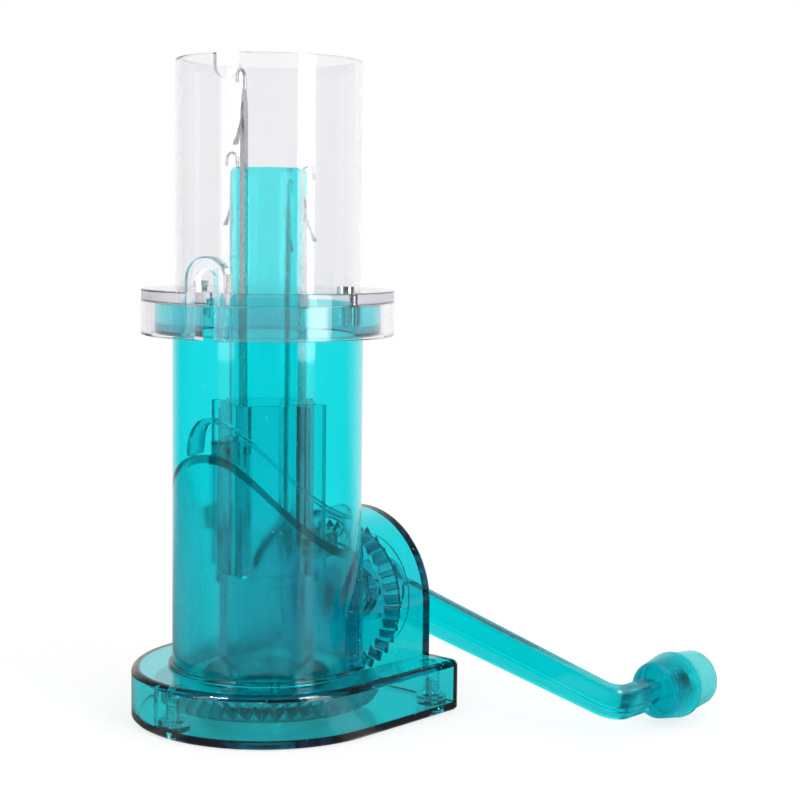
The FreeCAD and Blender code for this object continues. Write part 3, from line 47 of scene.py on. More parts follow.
class Slot(Enum):
    """Material slot names that new pieces are tagged with; nothing reads them."""

    TEAL = "teal_plastic"
    SCREW = "screw_steel"


class Rides(Enum):
    """The bodies that new pieces ride on."""

    FRAME = "frame"
    CRANK = "crank"


class Num:
    """A number in a node tree; arithmetic on it adds Math nodes."""

    def __init__(self, sheet: "NodeSheet", socket: bpy.types.NodeSocket) -> None:
        """Keeps the tree and the socket that carries the number."""
        self.sheet = sheet
        self.socket = socket

    def _with(self, operation: str, left: SocketValue, right: SocketValue) -> "Num":
        """Adds one Math node.

        Args:
            operation: the Math node's operation.
            left: its first value.
            right: its second value.

        Returns:
            The node's result.
        """
        made = self.sheet.node("ShaderNodeMath", {"operation": operation}, {0: left, 1: right})
        return Num(self.sheet, made.outputs[0])

    def __add__(self, other: SocketValue) -> "Num":
        """This number plus another."""
        return self._with("ADD", self, other)

    def __radd__(self, other: SocketValue) -> "Num":
        """Another number plus this one."""
        return self._with("ADD", other, self)

    def __sub__(self, other: SocketValue) -> "Num":
        """This number less another."""
        return self._with("SUBTRACT", self, other)

    def __rsub__(self, other: SocketValue) -> "Num":
        """Another number less this one."""
        return self._with("SUBTRACT", other, self)

    def __mul__(self, other: SocketValue) -> "Num":
        """This number times another."""
        return self._with("MULTIPLY", self, other)

    def __rmul__(self, other: SocketValue) -> "Num":
        """Another number times this one."""
        return self._with("MULTIPLY", other, self)

    def __pow__(self, other: SocketValue) -> "Num":
        """This number to a power."""
        return self._with("POWER", self, other)

    def __gt__(self, other: SocketValue) -> "Num":
        """1 where this number is larger than another, else 0."""
        return self._with("GREATER_THAN", self, other)

    def most(self, other: SocketValue) -> "Num":
        """The larger of two numbers."""
        return self._with("MAXIMUM", self, other)

    def cosine(self) -> "Num":
        """The cosine of this angle, in radians."""
        return self._with("COSINE", self, 0.0)

    def angle_from(self, other: "Num") -> "Num":
        """The angle whose tangent is this number over another."""
        return self._with("ARCTAN2", self, other)

    def wrapped(self, low: float, high: float) -> "Num":
        """This number, brought round into a range.

        Args:
            low: the range's lower end.
            high: the range's upper end.

        Returns:
            The number in the range.
        """
        made = self.sheet.node("ShaderNodeMath", {"operation": "WRAP"}, {0: self, 1: high, 2: low})
        return Num(self.sheet, made.outputs[0])

    def eased(self, low: float, high: float) -> "Num":
        """A smooth step from 0 to 1 as this number goes from low to high.

        Args:
            low: where the step starts.
            high: where the step ends.

        Returns:
            The eased number.
        """
        made = self.sheet.node(
            "ShaderNodeMapRange",
            {"interpolation_type": "SMOOTHSTEP"},
            {"Value": self, "From Min": low, "From Max": high},
        )
        return Num(self.sheet, made.outputs["Result"])


class NodeSheet:
    """A node tree that is filled by one method."""

    def __init__(self, tree: bpy.types.NodeTree) -> None:
        """Takes a tree and clears it."""
        self.tree = tree
        self.tree.nodes.clear()

    def node(
        self,
        kind: str,
        settings: dict[str, Any] | None = None,
        sockets: dict[str | int, SocketValue] | None = None,
    ) -> bpy.types.Node:
        """Adds a node.

        Args:
            kind: the node's type.
            settings: its properties.
            sockets: values or links for its inputs, by name or place.

        Returns:
            The new node.
        """
        made = self.tree.nodes.new(kind)
        for name, value in (settings or {}).items():
            setattr(made, name, value)
        for name, value in (sockets or {}).items():
            self.feed(made.inputs[name], value)
        return made

    def feed(self, target: bpy.types.NodeSocket, value: SocketValue) -> None:
        """Sets an input, or links it.

        Args:
            target: the input.
            value: a number, a colour, a socket or a Num.
        """
        if isinstance(value, Num):
            value = value.socket
        if isinstance(value, bpy.types.NodeSocket):
            self.tree.links.new(value, target)
        elif target.type == "RGBA" and len(value) == 3:
            target.default_value = (*value, 1.0)
        else:
            target.default_value = value

    def place(self, stretch: Stretch = (1.0, 1.0, 1.0)) -> bpy.types.NodeSocket:
        """Object coordinates, stretched along each axis.

        Args:
            stretch: scale of the coordinates along x, y and z.

        Returns:
            The coordinates' socket.
        """
        where = self.node("ShaderNodeTexCoord").outputs["Object"]
        return self.node("ShaderNodeMapping", None, {"Vector": where, "Scale": stretch}).outputs[0]

    def parts(self, vector: bpy.types.NodeSocket) -> tuple[Num, Num, Num]:
        """A vector's numbers along x, y and z."""
        split = self.node("ShaderNodeSeparateXYZ", None, {0: vector}).outputs
        return Num(self, split[0]), Num(self, split[1]), Num(self, split[2])

    def axes(self) -> tuple[Num, Num, Num]:
        """Object coordinates as three numbers, in metres."""
        return self.parts(self.place())

    def noise(self, scale: float, detail: float, stretch: Stretch = (1.0, 1.0, 1.0)) -> Num:
        """Noise on Object coordinates.

        Args:
            scale: waves to the metre.
            detail: octaves.
            stretch: scale of the coordinates along each axis.

        Returns:
            The noise, about 0 to 1.
        """
        sockets = {"Vector": self.place(stretch), "Scale": scale, "Detail": detail}
        return Num(self, self.node("ShaderNodeTexNoise", None, sockets).outputs[0])

    def between(self, factor: Num, low: SocketValue, high: SocketValue) -> bpy.types.NodeSocket:
        """A colour between two, by a factor.

        Args:
            factor: 0 for the first colour and 1 for the second.
            low: the first colour, or its socket.
            high: the second colour, or its socket.

        Returns:
            The colour's socket.
        """
        settings = {"data_type": "RGBA"}
        made = self.node("ShaderNodeMix", settings, {0: factor, 6: low, 7: high})
        return made.outputs[2]

    def bump(self, height: Num, depth: float, strength: float) -> bpy.types.NodeSocket:
        """A bumped normal.

        Args:
            height: the height, 0 to 1.
            depth: what a height of 1 stands for, in metres.
            strength: share of the bump that is used.

        Returns:
            The normal's socket.
        """
        sockets = {"Strength": strength, "Distance": depth, "Height": height}
        return self.node("ShaderNodeBump", None, sockets).outputs[0]


def new_material(name: str) -> tuple[bpy.types.Material, NodeSheet]:
    """Makes an empty node material.

    Args:
        name: the material's name.

    Returns:
        The material and its tree.
    """
    material = bpy.data.materials.new(name)
    material.use_nodes = True
    return material, NodeSheet(material.node_tree)


@dataclass(frozen=True)
class SeeThroughPlastic:
    """Polished moulded plastic that light goes through; it darkens with depth."""

    name: str
    tint: Colour
    flow_tint: Colour
    absorbs_to: Colour
    absorb_density: float
    gloss: float
    haze: float
    ior: float = 1.49
    body: float = 0.0
    flow_scale: float = 45.0
    flow_detail: float = 3.0
    flow_stretch: Stretch = (1.0, 1.0, 0.35)
    flow_range: Range = (0.3, 0.7)
    ripple_scale: float = 110.0
    ripple_detail: float = 2.0
    ripple_depth: float = 0.00004
    ripple_strength: float = 0.10
    rub_scale: float = 320.0
    rub_detail: float = 4.0
    rub_stretch: Stretch = (1.0, 1.0, 0.08)
    rub_range: Range = (0.52, 0.72)

    def colour(self, sheet: NodeSheet) -> bpy.types.NodeSocket:
        """The surface's own tint, with flow marks of the moulding.

        Args:
            sheet: the material's tree.

        Returns:
            The tint's socket.
        """
        flow = sheet.noise(self.flow_scale, self.flow_detail, self.flow_stretch)
        return sheet.between(flow.eased(*self.flow_range), self.tint, self.flow_tint)

    def relief(self, sheet: NodeSheet) -> Num:
        """Height of the slow ripples that a mould leaves."""
        return sheet.noise(self.ripple_scale, self.ripple_detail)

    def cover(self, sheet: NodeSheet) -> SocketValue:
        """How much of the surface counts: all of it."""
        return 1.0

    def dullness(self, sheet: NodeSheet) -> Num:
        """Roughness of the surface, with faint upright rubbing marks."""
        rub = sheet.noise(self.rub_scale, self.rub_detail, self.rub_stretch).eased(*self.rub_range)
        return self.gloss + rub * self.haze

    def material(self) -> bpy.types.Material:
        """Builds the material.

        Returns:
            The material.
        """
        material, sheet = new_material(self.name)
        surface = sheet.node(
            "ShaderNodeBsdfPrincipled",
            None,
            {
                "Base Color": self.colour(sheet),
                "Roughness": self.dullness(sheet),
                "IOR": self.ior,
                "Transmission Weight": 1.0 - self.body,
                "Alpha": self.cover(sheet),
                "Normal": sheet.bump(self.relief(sheet), self.ripple_depth, self.ripple_strength),
            },
        )
        inside = sheet.node(
            "ShaderNodeVolumeAbsorption",
            None,
            {"Color": self.absorbs_to, "Density": self.absorb_density},
        )
        sheet.node(
            "ShaderNodeOutputMaterial",
            None,
            {"Surface": surface.outputs[0], "Volume": inside.outputs[0]},
        )
        return material


@dataclass(frozen=True)
class CamLine:
    """The upper edge of the lower cam, which rises once round the axis."""

    low: float = 0.050
    rise: float = 0.031
    peak_angle: float = 184.0
    fall_power: float = 4.5
    rise_power: float = 6.0
    # angles of the flanks where the cam's upper edge gets painted shade
    shade_start: float = -58.0
    shade_end: float = 140.0
    shade_soft: float = 8.0
    contact_radius: float = 0.0257
    contact_far: float = 0.0262

    def below(self, sheet: NodeSheet) -> Num:
        """How far a point lies under the edge.

        Args:
            sheet: the material's tree.

        Returns:
            The depth in metres, negative above the edge.
        """
        _, _, z = sheet.axes()
        turn = self.turn(sheet)
        power = self.fall_power + (self.rise_power - self.fall_power) * (turn > 0.0)
        return self.low + self.rise * (turn * 0.5).cosine() ** power - z

    def turn(self, sheet: NodeSheet) -> Num:
        """The angle of a point about the axis, from the cam's peak.

        Args:
            sheet: the material's tree.

        Returns:
            The angle in radians, from minus to plus half a turn.
        """
        x, y, _ = sheet.axes()
        return (y.angle_from(x) - math.radians(self.peak_angle)).wrapped(-math.pi, math.pi)

    def shaded_flanks(self, sheet: NodeSheet) -> Num:
        """Where the edge's painted shade goes: 1 on the two flanks that carry a butt up and down, 0 on the
        low side.

        Args:
            sheet: the material's tree.

        Returns:
            The mask, with soft ends.
        """
        turn = self.turn(sheet)
        start, end, soft = (math.radians(angle) for angle in (self.shade_start, self.shade_end, self.shade_soft))
        return turn.eased(start, start + soft) * (1 - turn.eased(end - soft, end))

    def contact(self, sheet: NodeSheet) -> Num:
        """1 where cam and tube touch, so that light crosses without a reflection.

        Args:
            sheet: the material's tree.

        Returns:
            The mask.
        """
        x, y, _ = sheet.axes()
        out = (x * x + y * y) ** 0.5
        near_wall = (out > self.contact_radius) * (1 - (out > self.contact_far))
        return near_wall * (self.below(sheet) > 0.0)


@dataclass(frozen=True)
class TubePlastic(SeeThroughPlastic):
    """The same plastic, clear of reflections where the cam sits against it."""

    line: CamLine = CamLine()

    def cover(self, sheet: NodeSheet) -> SocketValue:
        """How much of the surface counts: none where the cam touches."""
        return 1 - self.line.contact(sheet)


@dataclass(frozen=True)
class CamPlastic(TubePlastic):
    """The same plastic with painted shade: a dark band along the edge that the needle butts run on."""

    # colour of the painted shade along the cam's upper edge
    edge_shade_tint: Colour = (0.10, 0.15, 0.16)
    edge_width: float = 0.0027
    edge_fade: float = 0.0005

    def colour(self, sheet: NodeSheet) -> bpy.types.NodeSocket:
        """The tint, with painted shade in a dark band along the cam's upper edge.

        Args:
            sheet: the material's tree.

        Returns:
            The tint's socket.
        """
        below = self.line.below(sheet)
        # painted shade: a dark band just under the edge, on the flanks only
        band = (1 - below.eased(self.edge_width - self.edge_fade, self.edge_width)) * self.line.shaded_flanks(sheet)
        return sheet.between(band, super().colour(sheet), self.edge_shade_tint)


@dataclass(frozen=True)
class DrumPlastic(SeeThroughPlastic):
    """The needle cylinder's plastic; its drum, inside the tube, is tinted darker than the column above as
    painted shade.
    """

    # colour of the painted shade on the drum
    drum_shade_tint: Colour = (0.76, 0.915, 0.93)
    drum_top: float = 0.0945
    soft: float = 0.001

    def colour(self, sheet: NodeSheet) -> bpy.types.NodeSocket:
        """The tint, darker up to the drum's shoulder as painted shade.

        Args:
            sheet: the material's tree.

        Returns:
            The tint's socket.
        """
        _, _, z = sheet.axes()
        high = z.eased(self.drum_top - self.soft, self.drum_top + self.soft)
        # painted shade: the drum darker than the column above it
        return sheet.between(high, self.drum_shade_tint, super().colour(sheet))


@dataclass(frozen=True)
class GuidePlastic(SeeThroughPlastic):
    """The cover's plastic; the walls of its yarn slot and of its rim notch hardly show."""

    guide_angle: float = 199.0
    slot_inner: float = 0.032
    slot_top: float = 0.135
    slot_half: float = 0.0029
    notch_inner: float = 0.020
    notch_centre: float = 0.1916
    notch_half: float = 0.0039
    notch_low: float = 0.187
    wall_slack: float = 0.00025
    slot_share: float = 0.75
    notch_share: float = 0.45

    def cover(self, sheet: NodeSheet) -> SocketValue:
        """How much of the surface counts: little on those walls.

        Args:
            sheet: the material's tree.

        Returns:
            The share, 0 to 1.
        """
        x, y, z = sheet.axes()
        turn = math.radians(self.guide_angle)
        out = x * math.cos(turn) + y * math.sin(turn)
        side = y * math.cos(turn) - x * math.sin(turn)
        drop = (self.notch_centre - z).most(0.0)
        slot = self.near(side * side, self.slot_half) * (out > self.slot_inner) * (1 - (z > self.slot_top))
        notch = self.near(side * side + drop * drop, self.notch_half)
        notch = notch * (out > self.notch_inner) * (z > self.notch_low)
        return 1 - (self.slot_share * slot).most(self.notch_share * notch)

    def near(self, square: Num, size: float) -> Num:
        """1 where the root of a square is close to a size, else 0.

        Args:
            square: the squared length.
            size: the length that is looked for.

        Returns:
            The mask.
        """
        low, high = size - self.wall_slack, size + self.wall_slack
        return (square > low**2) * (1 - (square > high**2))


@dataclass(frozen=True)
class ArmPlastic(SeeThroughPlastic):
    """The arm's plastic, with painted shade in a dark line where the thin fin starts under the bar and round
    the elbow.
    """

    axis_height: float = 0.031
    slant: float = 12.54
    root_hub: float = -0.0016
    root_end: float = -0.0028
    root_length: float = 0.0987
    line_width: float = 0.0011
    line_fade: float = 0.0003
    # colour of the painted shade where the fin starts
    fin_root_shade_tint: Colour = (0.62, 0.80, 0.82)
    elbow_start: float = 0.0905
    elbow_end: float = 0.0930
    elbow_haze: float = 0.17
    # colour of the painted shade round the elbow
    elbow_shade_tint: Colour = (0.42, 0.72, 0.77)

    def elbow(self, sheet: NodeSheet) -> Num:
        """1 round the elbow and 0 along the bar."""
        _, y, _ = sheet.axes()
        return (-1.0 * y).eased(self.elbow_start, self.elbow_end)

    def dullness(self, sheet: NodeSheet) -> Num:
        """Roughness of the surface, duller round the elbow."""
        return super().dullness(sheet) + self.elbow_haze * self.elbow(sheet)

    def colour(self, sheet: NodeSheet) -> bpy.types.NodeSocket:
        """The tint, with painted shade: darker in the line and round the elbow.

        Args:
            sheet: the material's tree.

        Returns:
            The tint's socket.
        """
        _, y, z = sheet.axes()
        turn = math.radians(self.slant)
        rise = z - self.axis_height
        along = -1.0 * (y * math.cos(turn) + rise * math.sin(turn))
        high = rise * math.cos(turn) - y * math.sin(turn)
        over = high - self.root_hub - along * ((self.root_end - self.root_hub) / self.root_length)
        top = 1 - over.eased(self.line_width - self.line_fade, self.line_width)
        line = over.eased(0.0, self.line_fade) * top
        # painted shade: darker round the elbow and in the line where the fin starts
        bar = sheet.between(self.elbow(sheet), super().colour(sheet), self.elbow_shade_tint)
        return sheet.between(line, bar, self.fin_root_shade_tint)


@dataclass(frozen=True)
class TurnedPlastic(SeeThroughPlastic):
    """The same plastic with fine rings about an axis along X, as on the crank's knob."""

    axis_y: float = -0.0935
    axis_z: float = 0.0102
    ring_scale: float = 900.0
    ring_detail: float = 2.0
    ring_range: Range = (0.50, 0.62)
    ring_tint: Colour = (0.74, 0.93, 0.95)

    def colour(self, sheet: NodeSheet) -> bpy.types.NodeSocket:
        """The tint, a little darker in some of the rings."""
        rings = self.relief(sheet).eased(*self.ring_range)
        return sheet.between(rings, super().colour(sheet), self.ring_tint)

    def relief(self, sheet: NodeSheet) -> Num:
        """Height of the rings.

        Args:
            sheet: the material's tree.

        Returns:
            The height, about 0 to 1.
        """
        x, y, z = sheet.axes()
        out = ((y - self.axis_y) * (y - self.axis_y) + (z - self.axis_z) * (z - self.axis_z)) ** 0.5
        along = sheet.node("ShaderNodeCombineXYZ", None, {0: x, 1: out, 2: 0.0}).outputs[0]
        sockets = {"Vector": along, "Scale": self.ring_scale, "Detail": self.ring_detail}
        return Num(sheet, sheet.node("ShaderNodeTexNoise", None, sockets).outputs[0])


@dataclass(frozen=True)
class DrawnSteel:
    """Bare steel with fine lines along its length."""

    name: str
    bright: Colour
    dull: Colour
    gloss: float
    worn_gloss: float
    line_stretch: Stretch
    line_scale: float = 900.0
    line_detail: float = 5.0
    line_depth: float = 0.00002
    line_strength: float = 0.4
    line_gloss: float = 0.08
    stain_scale: float = 160.0
    stain_detail: float = 4.0
    stain_range: Range = (0.4, 0.75)

    def material(self) -> bpy.types.Material:
        """Builds the material.

        Returns:
            The material.
        """
        material, sheet = new_material(self.name)
        lines = sheet.noise(self.line_scale, self.line_detail, self.line_stretch)
        stain = sheet.noise(self.stain_scale, self.stain_detail).eased(*self.stain_range)
        surface = sheet.node(
            "ShaderNodeBsdfPrincipled",
            None,
            {
                "Base Color": sheet.between(stain, self.bright, self.dull),
                "Metallic": 1.0,
                "Roughness": self.gloss + stain * self.worn_gloss + lines * self.line_gloss,
                "Normal": sheet.bump(lines, self.line_depth, self.line_strength),
            },
        )
        sheet.node("ShaderNodeOutputMaterial", None, {"Surface": surface.outputs[0]})
        return material


@dataclass(frozen=True)
class PaleSpeck:
    """Dust and tiny bubbles caught in the plastic."""

    name: str = "caught_specks"
    pale: Colour = (0.94, 0.98, 0.98)
    dim: Colour = (0.74, 0.91, 0.93)
    patch_scale: float = 900.0
    patch_detail: float = 2.0
    patch_range: Range = (0.35, 0.65)
    gloss: float = 0.35
    patch_gloss: float = 0.3

    def material(self) -> bpy.types.Material:
        """Builds the material.

        Returns:
            The material.
        """
        material, sheet = new_material(self.name)
        patch = sheet.noise(self.patch_scale, self.patch_detail)
        surface = sheet.node(
            "ShaderNodeBsdfPrincipled",
            None,
            {
                "Base Color": sheet.between(patch.eased(*self.patch_range), self.pale, self.dim),
                "Roughness": self.gloss + patch * self.patch_gloss,
            },
        )
        sheet.node("ShaderNodeOutputMaterial", None, {"Surface": surface.outputs[0]})
        return material


Finish = SeeThroughPlastic | DrawnSteel | PaleSpeck

TEAL = {
    "tint": (0.90, 0.985, 0.99),
    "flow_tint": (0.85, 0.98, 0.985),
    "absorbs_to": (0.0, 0.950, 0.963),
    "absorb_density": 800.0,
}
TEAL_PLASTIC = SeeThroughPlastic(name="teal_moulding", gloss=0.03, haze=0.05, **TEAL)
TUBE_PLASTIC = TubePlastic(name="teal_tube_moulding", gloss=0.03, haze=0.05, **TEAL)
DRUM_PLASTIC = DrumPlastic(
    name="teal_drum_moulding",
    gloss=0.12,
    haze=0.08,
    ior=1.32,
    **{**TEAL, "absorbs_to": (0.0, 0.974, 0.981), "absorb_density": 520.0},
)
RING_PLASTIC = SeeThroughPlastic(
    name="teal_ring_moulding",
    gloss=0.34,
    haze=0.12,
    ior=1.22,
    **{**TEAL, "absorb_density": 200.0},
)
GEAR_PLASTIC = SeeThroughPlastic(
    name="teal_gear_moulding",
    gloss=0.05,
    haze=0.06,
    ior=1.30,
    **{**TEAL, "absorb_density": 950.0},
)
ARM_PLASTIC = ArmPlastic(
    name="teal_arm_moulding",
    gloss=0.04,
    haze=0.06,
    ior=1.27,
    tint=(0.66, 0.86, 0.89),
    flow_tint=(0.60, 0.83, 0.87),
    absorbs_to=(0.0, 0.986, 0.990),
    absorb_density=1150.0,
)
CAM_PLASTIC = CamPlastic(
    name="teal_cam_moulding",
    gloss=0.18,
    haze=0.10,
    **{**TEAL, "absorb_density": 1000.0},
)
ARCH_PLASTIC = SeeThroughPlastic(
    name="teal_arch_moulding",
    gloss=0.05,
    haze=0.06,
    **{**TEAL, "absorb_density": 2400.0},
)
KNOB_PLASTIC = TurnedPlastic(
    name="teal_knob_moulding",
    gloss=0.26,
    haze=0.08,
    ior=1.27,
    ripple_depth=0.00012,
    ripple_strength=0.35,
    **{**TEAL, "absorbs_to": (0.0, 0.958, 0.969), "absorb_density": 1000.0},
)
CLEAR_PLASTIC = GuidePlastic(
    name="clear_moulding",
    tint=(0.985, 0.985, 0.992),
    flow_tint=(0.965, 0.965, 0.980),
    absorbs_to=(0.32, 0.30, 0.46),
    absorb_density=14.0,
    gloss=0.005,
    haze=0.008,
    body=0.02,
    ripple_strength=0.01,
)
CARRIER_PLASTIC = SeeThroughPlastic(
    name="carrier_smoky_moulding",
    tint=(0.80, 0.84, 0.84),
    flow_tint=(0.70, 0.75, 0.75),
    absorbs_to=(0.25, 0.32, 0.33),
    absorb_density=45.0,
    gloss=0.12,
    haze=0.10,
)
NEEDLE_STEEL = DrawnSteel(
    name="latch_needle_steel",
    bright=(0.62, 0.62, 0.63),
    dull=(0.42, 0.42, 0.43),
    gloss=0.22,
    worn_gloss=0.14,
    line_stretch=(1.0, 1.0, 0.06),
)
SCREW_STEEL = DrawnSteel(
    name="screw_steel_plated",
    bright=(0.80, 0.80, 0.79),
    dull=(0.66, 0.66, 0.65),
    gloss=0.10,
    worn_gloss=0.08,
    line_stretch=(1.0, 1.0, 1.0),
)
PALE_STEEL = DrawnSteel(
    name="knob_screw_steel",
    bright=(0.96, 0.96, 0.95),
    dull=(0.92, 0.92, 0.91),
    gloss=0.45,
    worn_gloss=0.10,
    line_stretch=(1.0, 1.0, 1.0),
)
SPECKS = PaleSpeck()


class Wardrobe:
    """The materials of the finishes, each made once."""

    def __init__(self) -> None:
        """Starts with no material."""
        self.made: dict[str, bpy.types.Material] = {}

    def material(self, finish: Finish) -> bpy.types.Material:
        """The material of a finish.

        Args:
            finish: one of the finishes above.

        Returns:
            Its material.
        """
        if finish.name not in self.made:
            self.made[finish.name] = finish.material()
        return self.made[finish.name]


class ShapeSheet(NodeSheet):
    """A Geometry Nodes tree with named sizes."""

    def __init__(self, name: str, sizes: dict[str, float]) -> None:
        """Makes the tree and its inputs.

        Args:
            name: the tree's name.
            sizes: name and value of each input.
        """
        super().__init__(bpy.data.node_groups.new(name, "GeometryNodeTree"))
        self.sizes = sizes
        face = self.tree.interface
        face.new_socket("Geometry", in_out="INPUT", socket_type="NodeSocketGeometry")
        for label in sizes:
            face.new_socket(label, in_out="INPUT", socket_type="NodeSocketFloat")
        face.new_socket("Geometry", in_out="OUTPUT", socket_type="NodeSocketGeometry")
        self.given = self.node("NodeGroupInput").outputs

    def end(self, instances: bpy.types.NodeSocket, material: bpy.types.Material) -> None:
        """Realizes the instances and gives them their material.

        Args:
            instances: the geometry that the tree has made.
            material: what it is made of.
        """
        real = self.node("GeometryNodeRealizeInstances", None, {0: instances}).outputs[0]
        smooth = self.node("GeometryNodeSetShadeSmooth", None, {0: real}).outputs[0]
        named = self.node("GeometryNodeSetMaterial", None, {"Geometry": smooth, "Material": material})
        self.node("NodeGroupOutput", None, {0: named.outputs[0]})

    def settle(self, name: str, start: bpy.types.Mesh) -> bpy.types.Object:
        """Runs the tree on a mesh and keeps the result as a plain mesh.

        Args:
            name: the new piece's name.
            start: the mesh that the tree starts from.

        Returns:
            The new piece.
        """
        piece = bpy.data.objects.new(name, start)
        bpy.context.scene.collection.objects.link(piece)
        modifier = piece.modifiers.new("shape", "NODES")
        modifier.node_group = self.tree
        for item in self.tree.interface.items_tree:
            if item.in_out == "INPUT" and item.name in self.sizes:
                modifier[item.identifier] = self.sizes[item.name]
        graph = bpy.context.evaluated_depsgraph_get()
        mesh = bpy.data.meshes.new_from_object(piece.evaluated_get(graph))
        piece.modifiers.remove(modifier)
        piece.data = mesh
        bpy.data.meshes.remove(start)
        mesh.name = name
        return piece


@dataclass
class Specks:
    """Specks in a moulding's skin, but not at the part's sides or in the crank's bearing."""

    to_square_metre: float
    radius: float = 0.0002
    depth: float = 0.0005
    least_x: float = -0.0398
    most_y: float = 0.0398
    crank_height: float = 0.031
    crank_clear: float = 0.0065
    least_share: float = 0.35
    ball_steps: int = 1
    seed: int = 7

    def build(self, name: str, node: bpy.types.Object, material: bpy.types.Material) -> bpy.types.Object:
        """Scatters the specks in a CAD node's walls.

        Args:
            name: the new piece's name.
            node: the moulding.
            material: what the specks are made of.

        Returns:
            The specks as one piece.
        """
        sizes = {"Density": self.to_square_metre, "Radius": self.radius, "Depth": self.depth}
        sheet = ShapeSheet(name, sizes)
        x, y, z = sheet.parts(sheet.node("GeometryNodeInputPosition").outputs[0])
        rise = z - self.crank_height
        inside = (x > self.least_x) * (1 - (y > self.most_y)) * (y * y + rise * rise > self.crank_clear**2)
        spread = sheet.node(
            "GeometryNodeDistributePointsOnFaces",
            None,
            {
                "Mesh": sheet.given["Geometry"],
                "Selection": inside,
                "Density": sheet.given["Density"],
                "Seed": self.seed,
            },
        )
        inward = sheet.node(
            "ShaderNodeVectorMath",
            {"operation": "SCALE"},
            {0: spread.outputs["Normal"], "Scale": -1.0 * Num(sheet, sheet.given["Depth"])},
        )
        sunk = sheet.node(
            "GeometryNodeSetPosition",
            None,
            {"Geometry": spread.outputs["Points"], "Offset": inward.outputs[0]},
        )
        size = sheet.node("FunctionNodeRandomValue", None, {2: self.least_share, 3: 1.0, "Seed": self.seed})
        ball = sheet.node(
            "GeometryNodeMeshIcoSphere",
            None,
            {"Radius": sheet.given["Radius"], "Subdivisions": self.ball_steps},
        )
        many = sheet.node(
            "GeometryNodeInstanceOnPoints",
            None,
            {"Points": sunk.outputs[0], "Instance": ball.outputs[0], "Scale": size.outputs[1]},
        )
        sheet.end(many.outputs[0], material)
        return sheet.settle(name, node.data.copy())


@dataclass
class Thread:
    """The thread on the shanks of upright screws."""

    low: float
    high: float
    radius: float = 0.0012
    ridge: float = 0.00022
    pitch: float = 0.0009
    turn_steps: int = 24
    ridge_corners: int = 4

    def build(
        self,
        name: str,
        places: list[tuple[float, float]],
        material: bpy.types.Material,
    ) -> bpy.types.Object:
        """Winds a thread on each screw.

        Args:
            name: the new piece's name.
            places: where the screws stand, in plan.
            material: the screws' steel.

        Returns:
            The threads as one piece.
        """
        sizes = {"Radius": self.radius, "Ridge": self.ridge, "Height": self.high - self.low}
        sheet = ShapeSheet(name, sizes)
        turns = (self.high - self.low) / self.pitch
        coil = sheet.node(
            "GeometryNodeCurveSpiral",
            None,
            {
                "Resolution": self.turn_steps,
                "Rotations": turns,
                "Start Radius": sheet.given["Radius"],
                "End Radius": sheet.given["Radius"],
                "Height": sheet.given["Height"],
            },
        )
        edge = sheet.node(
            "GeometryNodeCurvePrimitiveCircle",
            None,
            {"Resolution": self.ridge_corners, "Radius": sheet.given["Ridge"]},
        )
        ridge = sheet.node(
            "GeometryNodeCurveToMesh",
            None,
            {"Curve": coil.outputs[0], "Profile Curve": edge.outputs[0], "Fill Caps": True},
        )
        many = sheet.node(
            "GeometryNodeInstanceOnPoints",
            None,
            {"Points": sheet.given["Geometry"], "Instance": ridge.outputs[0]},
        )
        sheet.end(many.outputs[0], material)
        start = bpy.data.meshes.new(name)
        start.from_pydata([(x, y, self.low) for x, y in places], [], [])
        return sheet.settle(name, start)


@dataclass
class SubAssembly:
    """Some CAD nodes with their finishes, and the pieces that are added to them."""

    wardrobe: Wardrobe
    nodes: dict[str, Finish] = field(default_factory=dict)
    rides: Rides = Rides.FRAME

    def dress(self) -> None:
        """Gives each CAD node its finish."""
        for name, finish in self.nodes.items():
            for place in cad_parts[name].material_slots:
                place.material = self.wardrobe.material(finish)
            LOG.info("dressed %s in %s", name, finish.name)

    def add(self, piece: bpy.types.Object, slot: Slot) -> None:
        """Puts a new piece on the sub-assembly's body.

        Args:
            piece: the new piece.
            slot: not used.
        """
        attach(piece, self.rides.value)
        LOG.info("built %s, %d faces, on %s", piece.name, len(piece.data.polygons), self.rides.value)

    def specks(self, node: str, specks: Specks) -> None:
        """Adds specks to one of the mouldings.

        Args:
            node: the moulding's name.
            specks: how many and how large.
        """
        made = specks.build(f"{node}_specks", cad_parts[node], self.wardrobe.material(SPECKS))
        self.add(made, Slot.TEAL)

    def build(self) -> None:
        """Builds the pieces that are added; a plain sub-assembly has none."""


@dataclass
class BaseUnit(SubAssembly):
    """Base housing, base plate and the screws between them."""

    nodes: dict[str, Finish] = field(
        default_factory=lambda: {
            "base_housing": TEAL_PLASTIC,
            "base_plate": TEAL_PLASTIC,
            "base_screws": SCREW_STEEL,
        }
    )
    rear_screw: float = -0.0364
    front_screw: float = 0.0366
    front_side: float = 0.0333
    thread_low: float = 0.0034
    thread_high: float = 0.0098

    def build(self) -> None:
        """Builds the screws' threads and the specks."""
        places = [
            (self.rear_screw, 0.0),
            (self.front_screw, self.front_side),
            (self.front_screw, -self.front_side),
        ]
        thread = Thread(self.thread_low, self.thread_high)
        steel = self.wardrobe.material(SCREW_STEEL)
        self.add(thread.build("base_screw_threads", places, steel), Slot.SCREW)
        self.specks("base_housing", Specks(to_square_metre=30000.0, radius=0.00017, depth=0.00006))


@dataclass
class TubeUnit(SubAssembly):
    """Outer tube with the two cams in it."""

    nodes: dict[str, Finish] = field(
        default_factory=lambda: {
            "outer_tube": TUBE_PLASTIC,
            "lower_cam": CAM_PLASTIC,
            "upper_cam": ARCH_PLASTIC,
        }
    )

    def build(self) -> None:
        """Builds the specks in the tube's wall."""
        self.specks("outer_tube", Specks(to_square_metre=7000.0, radius=0.00017, depth=0.00006))


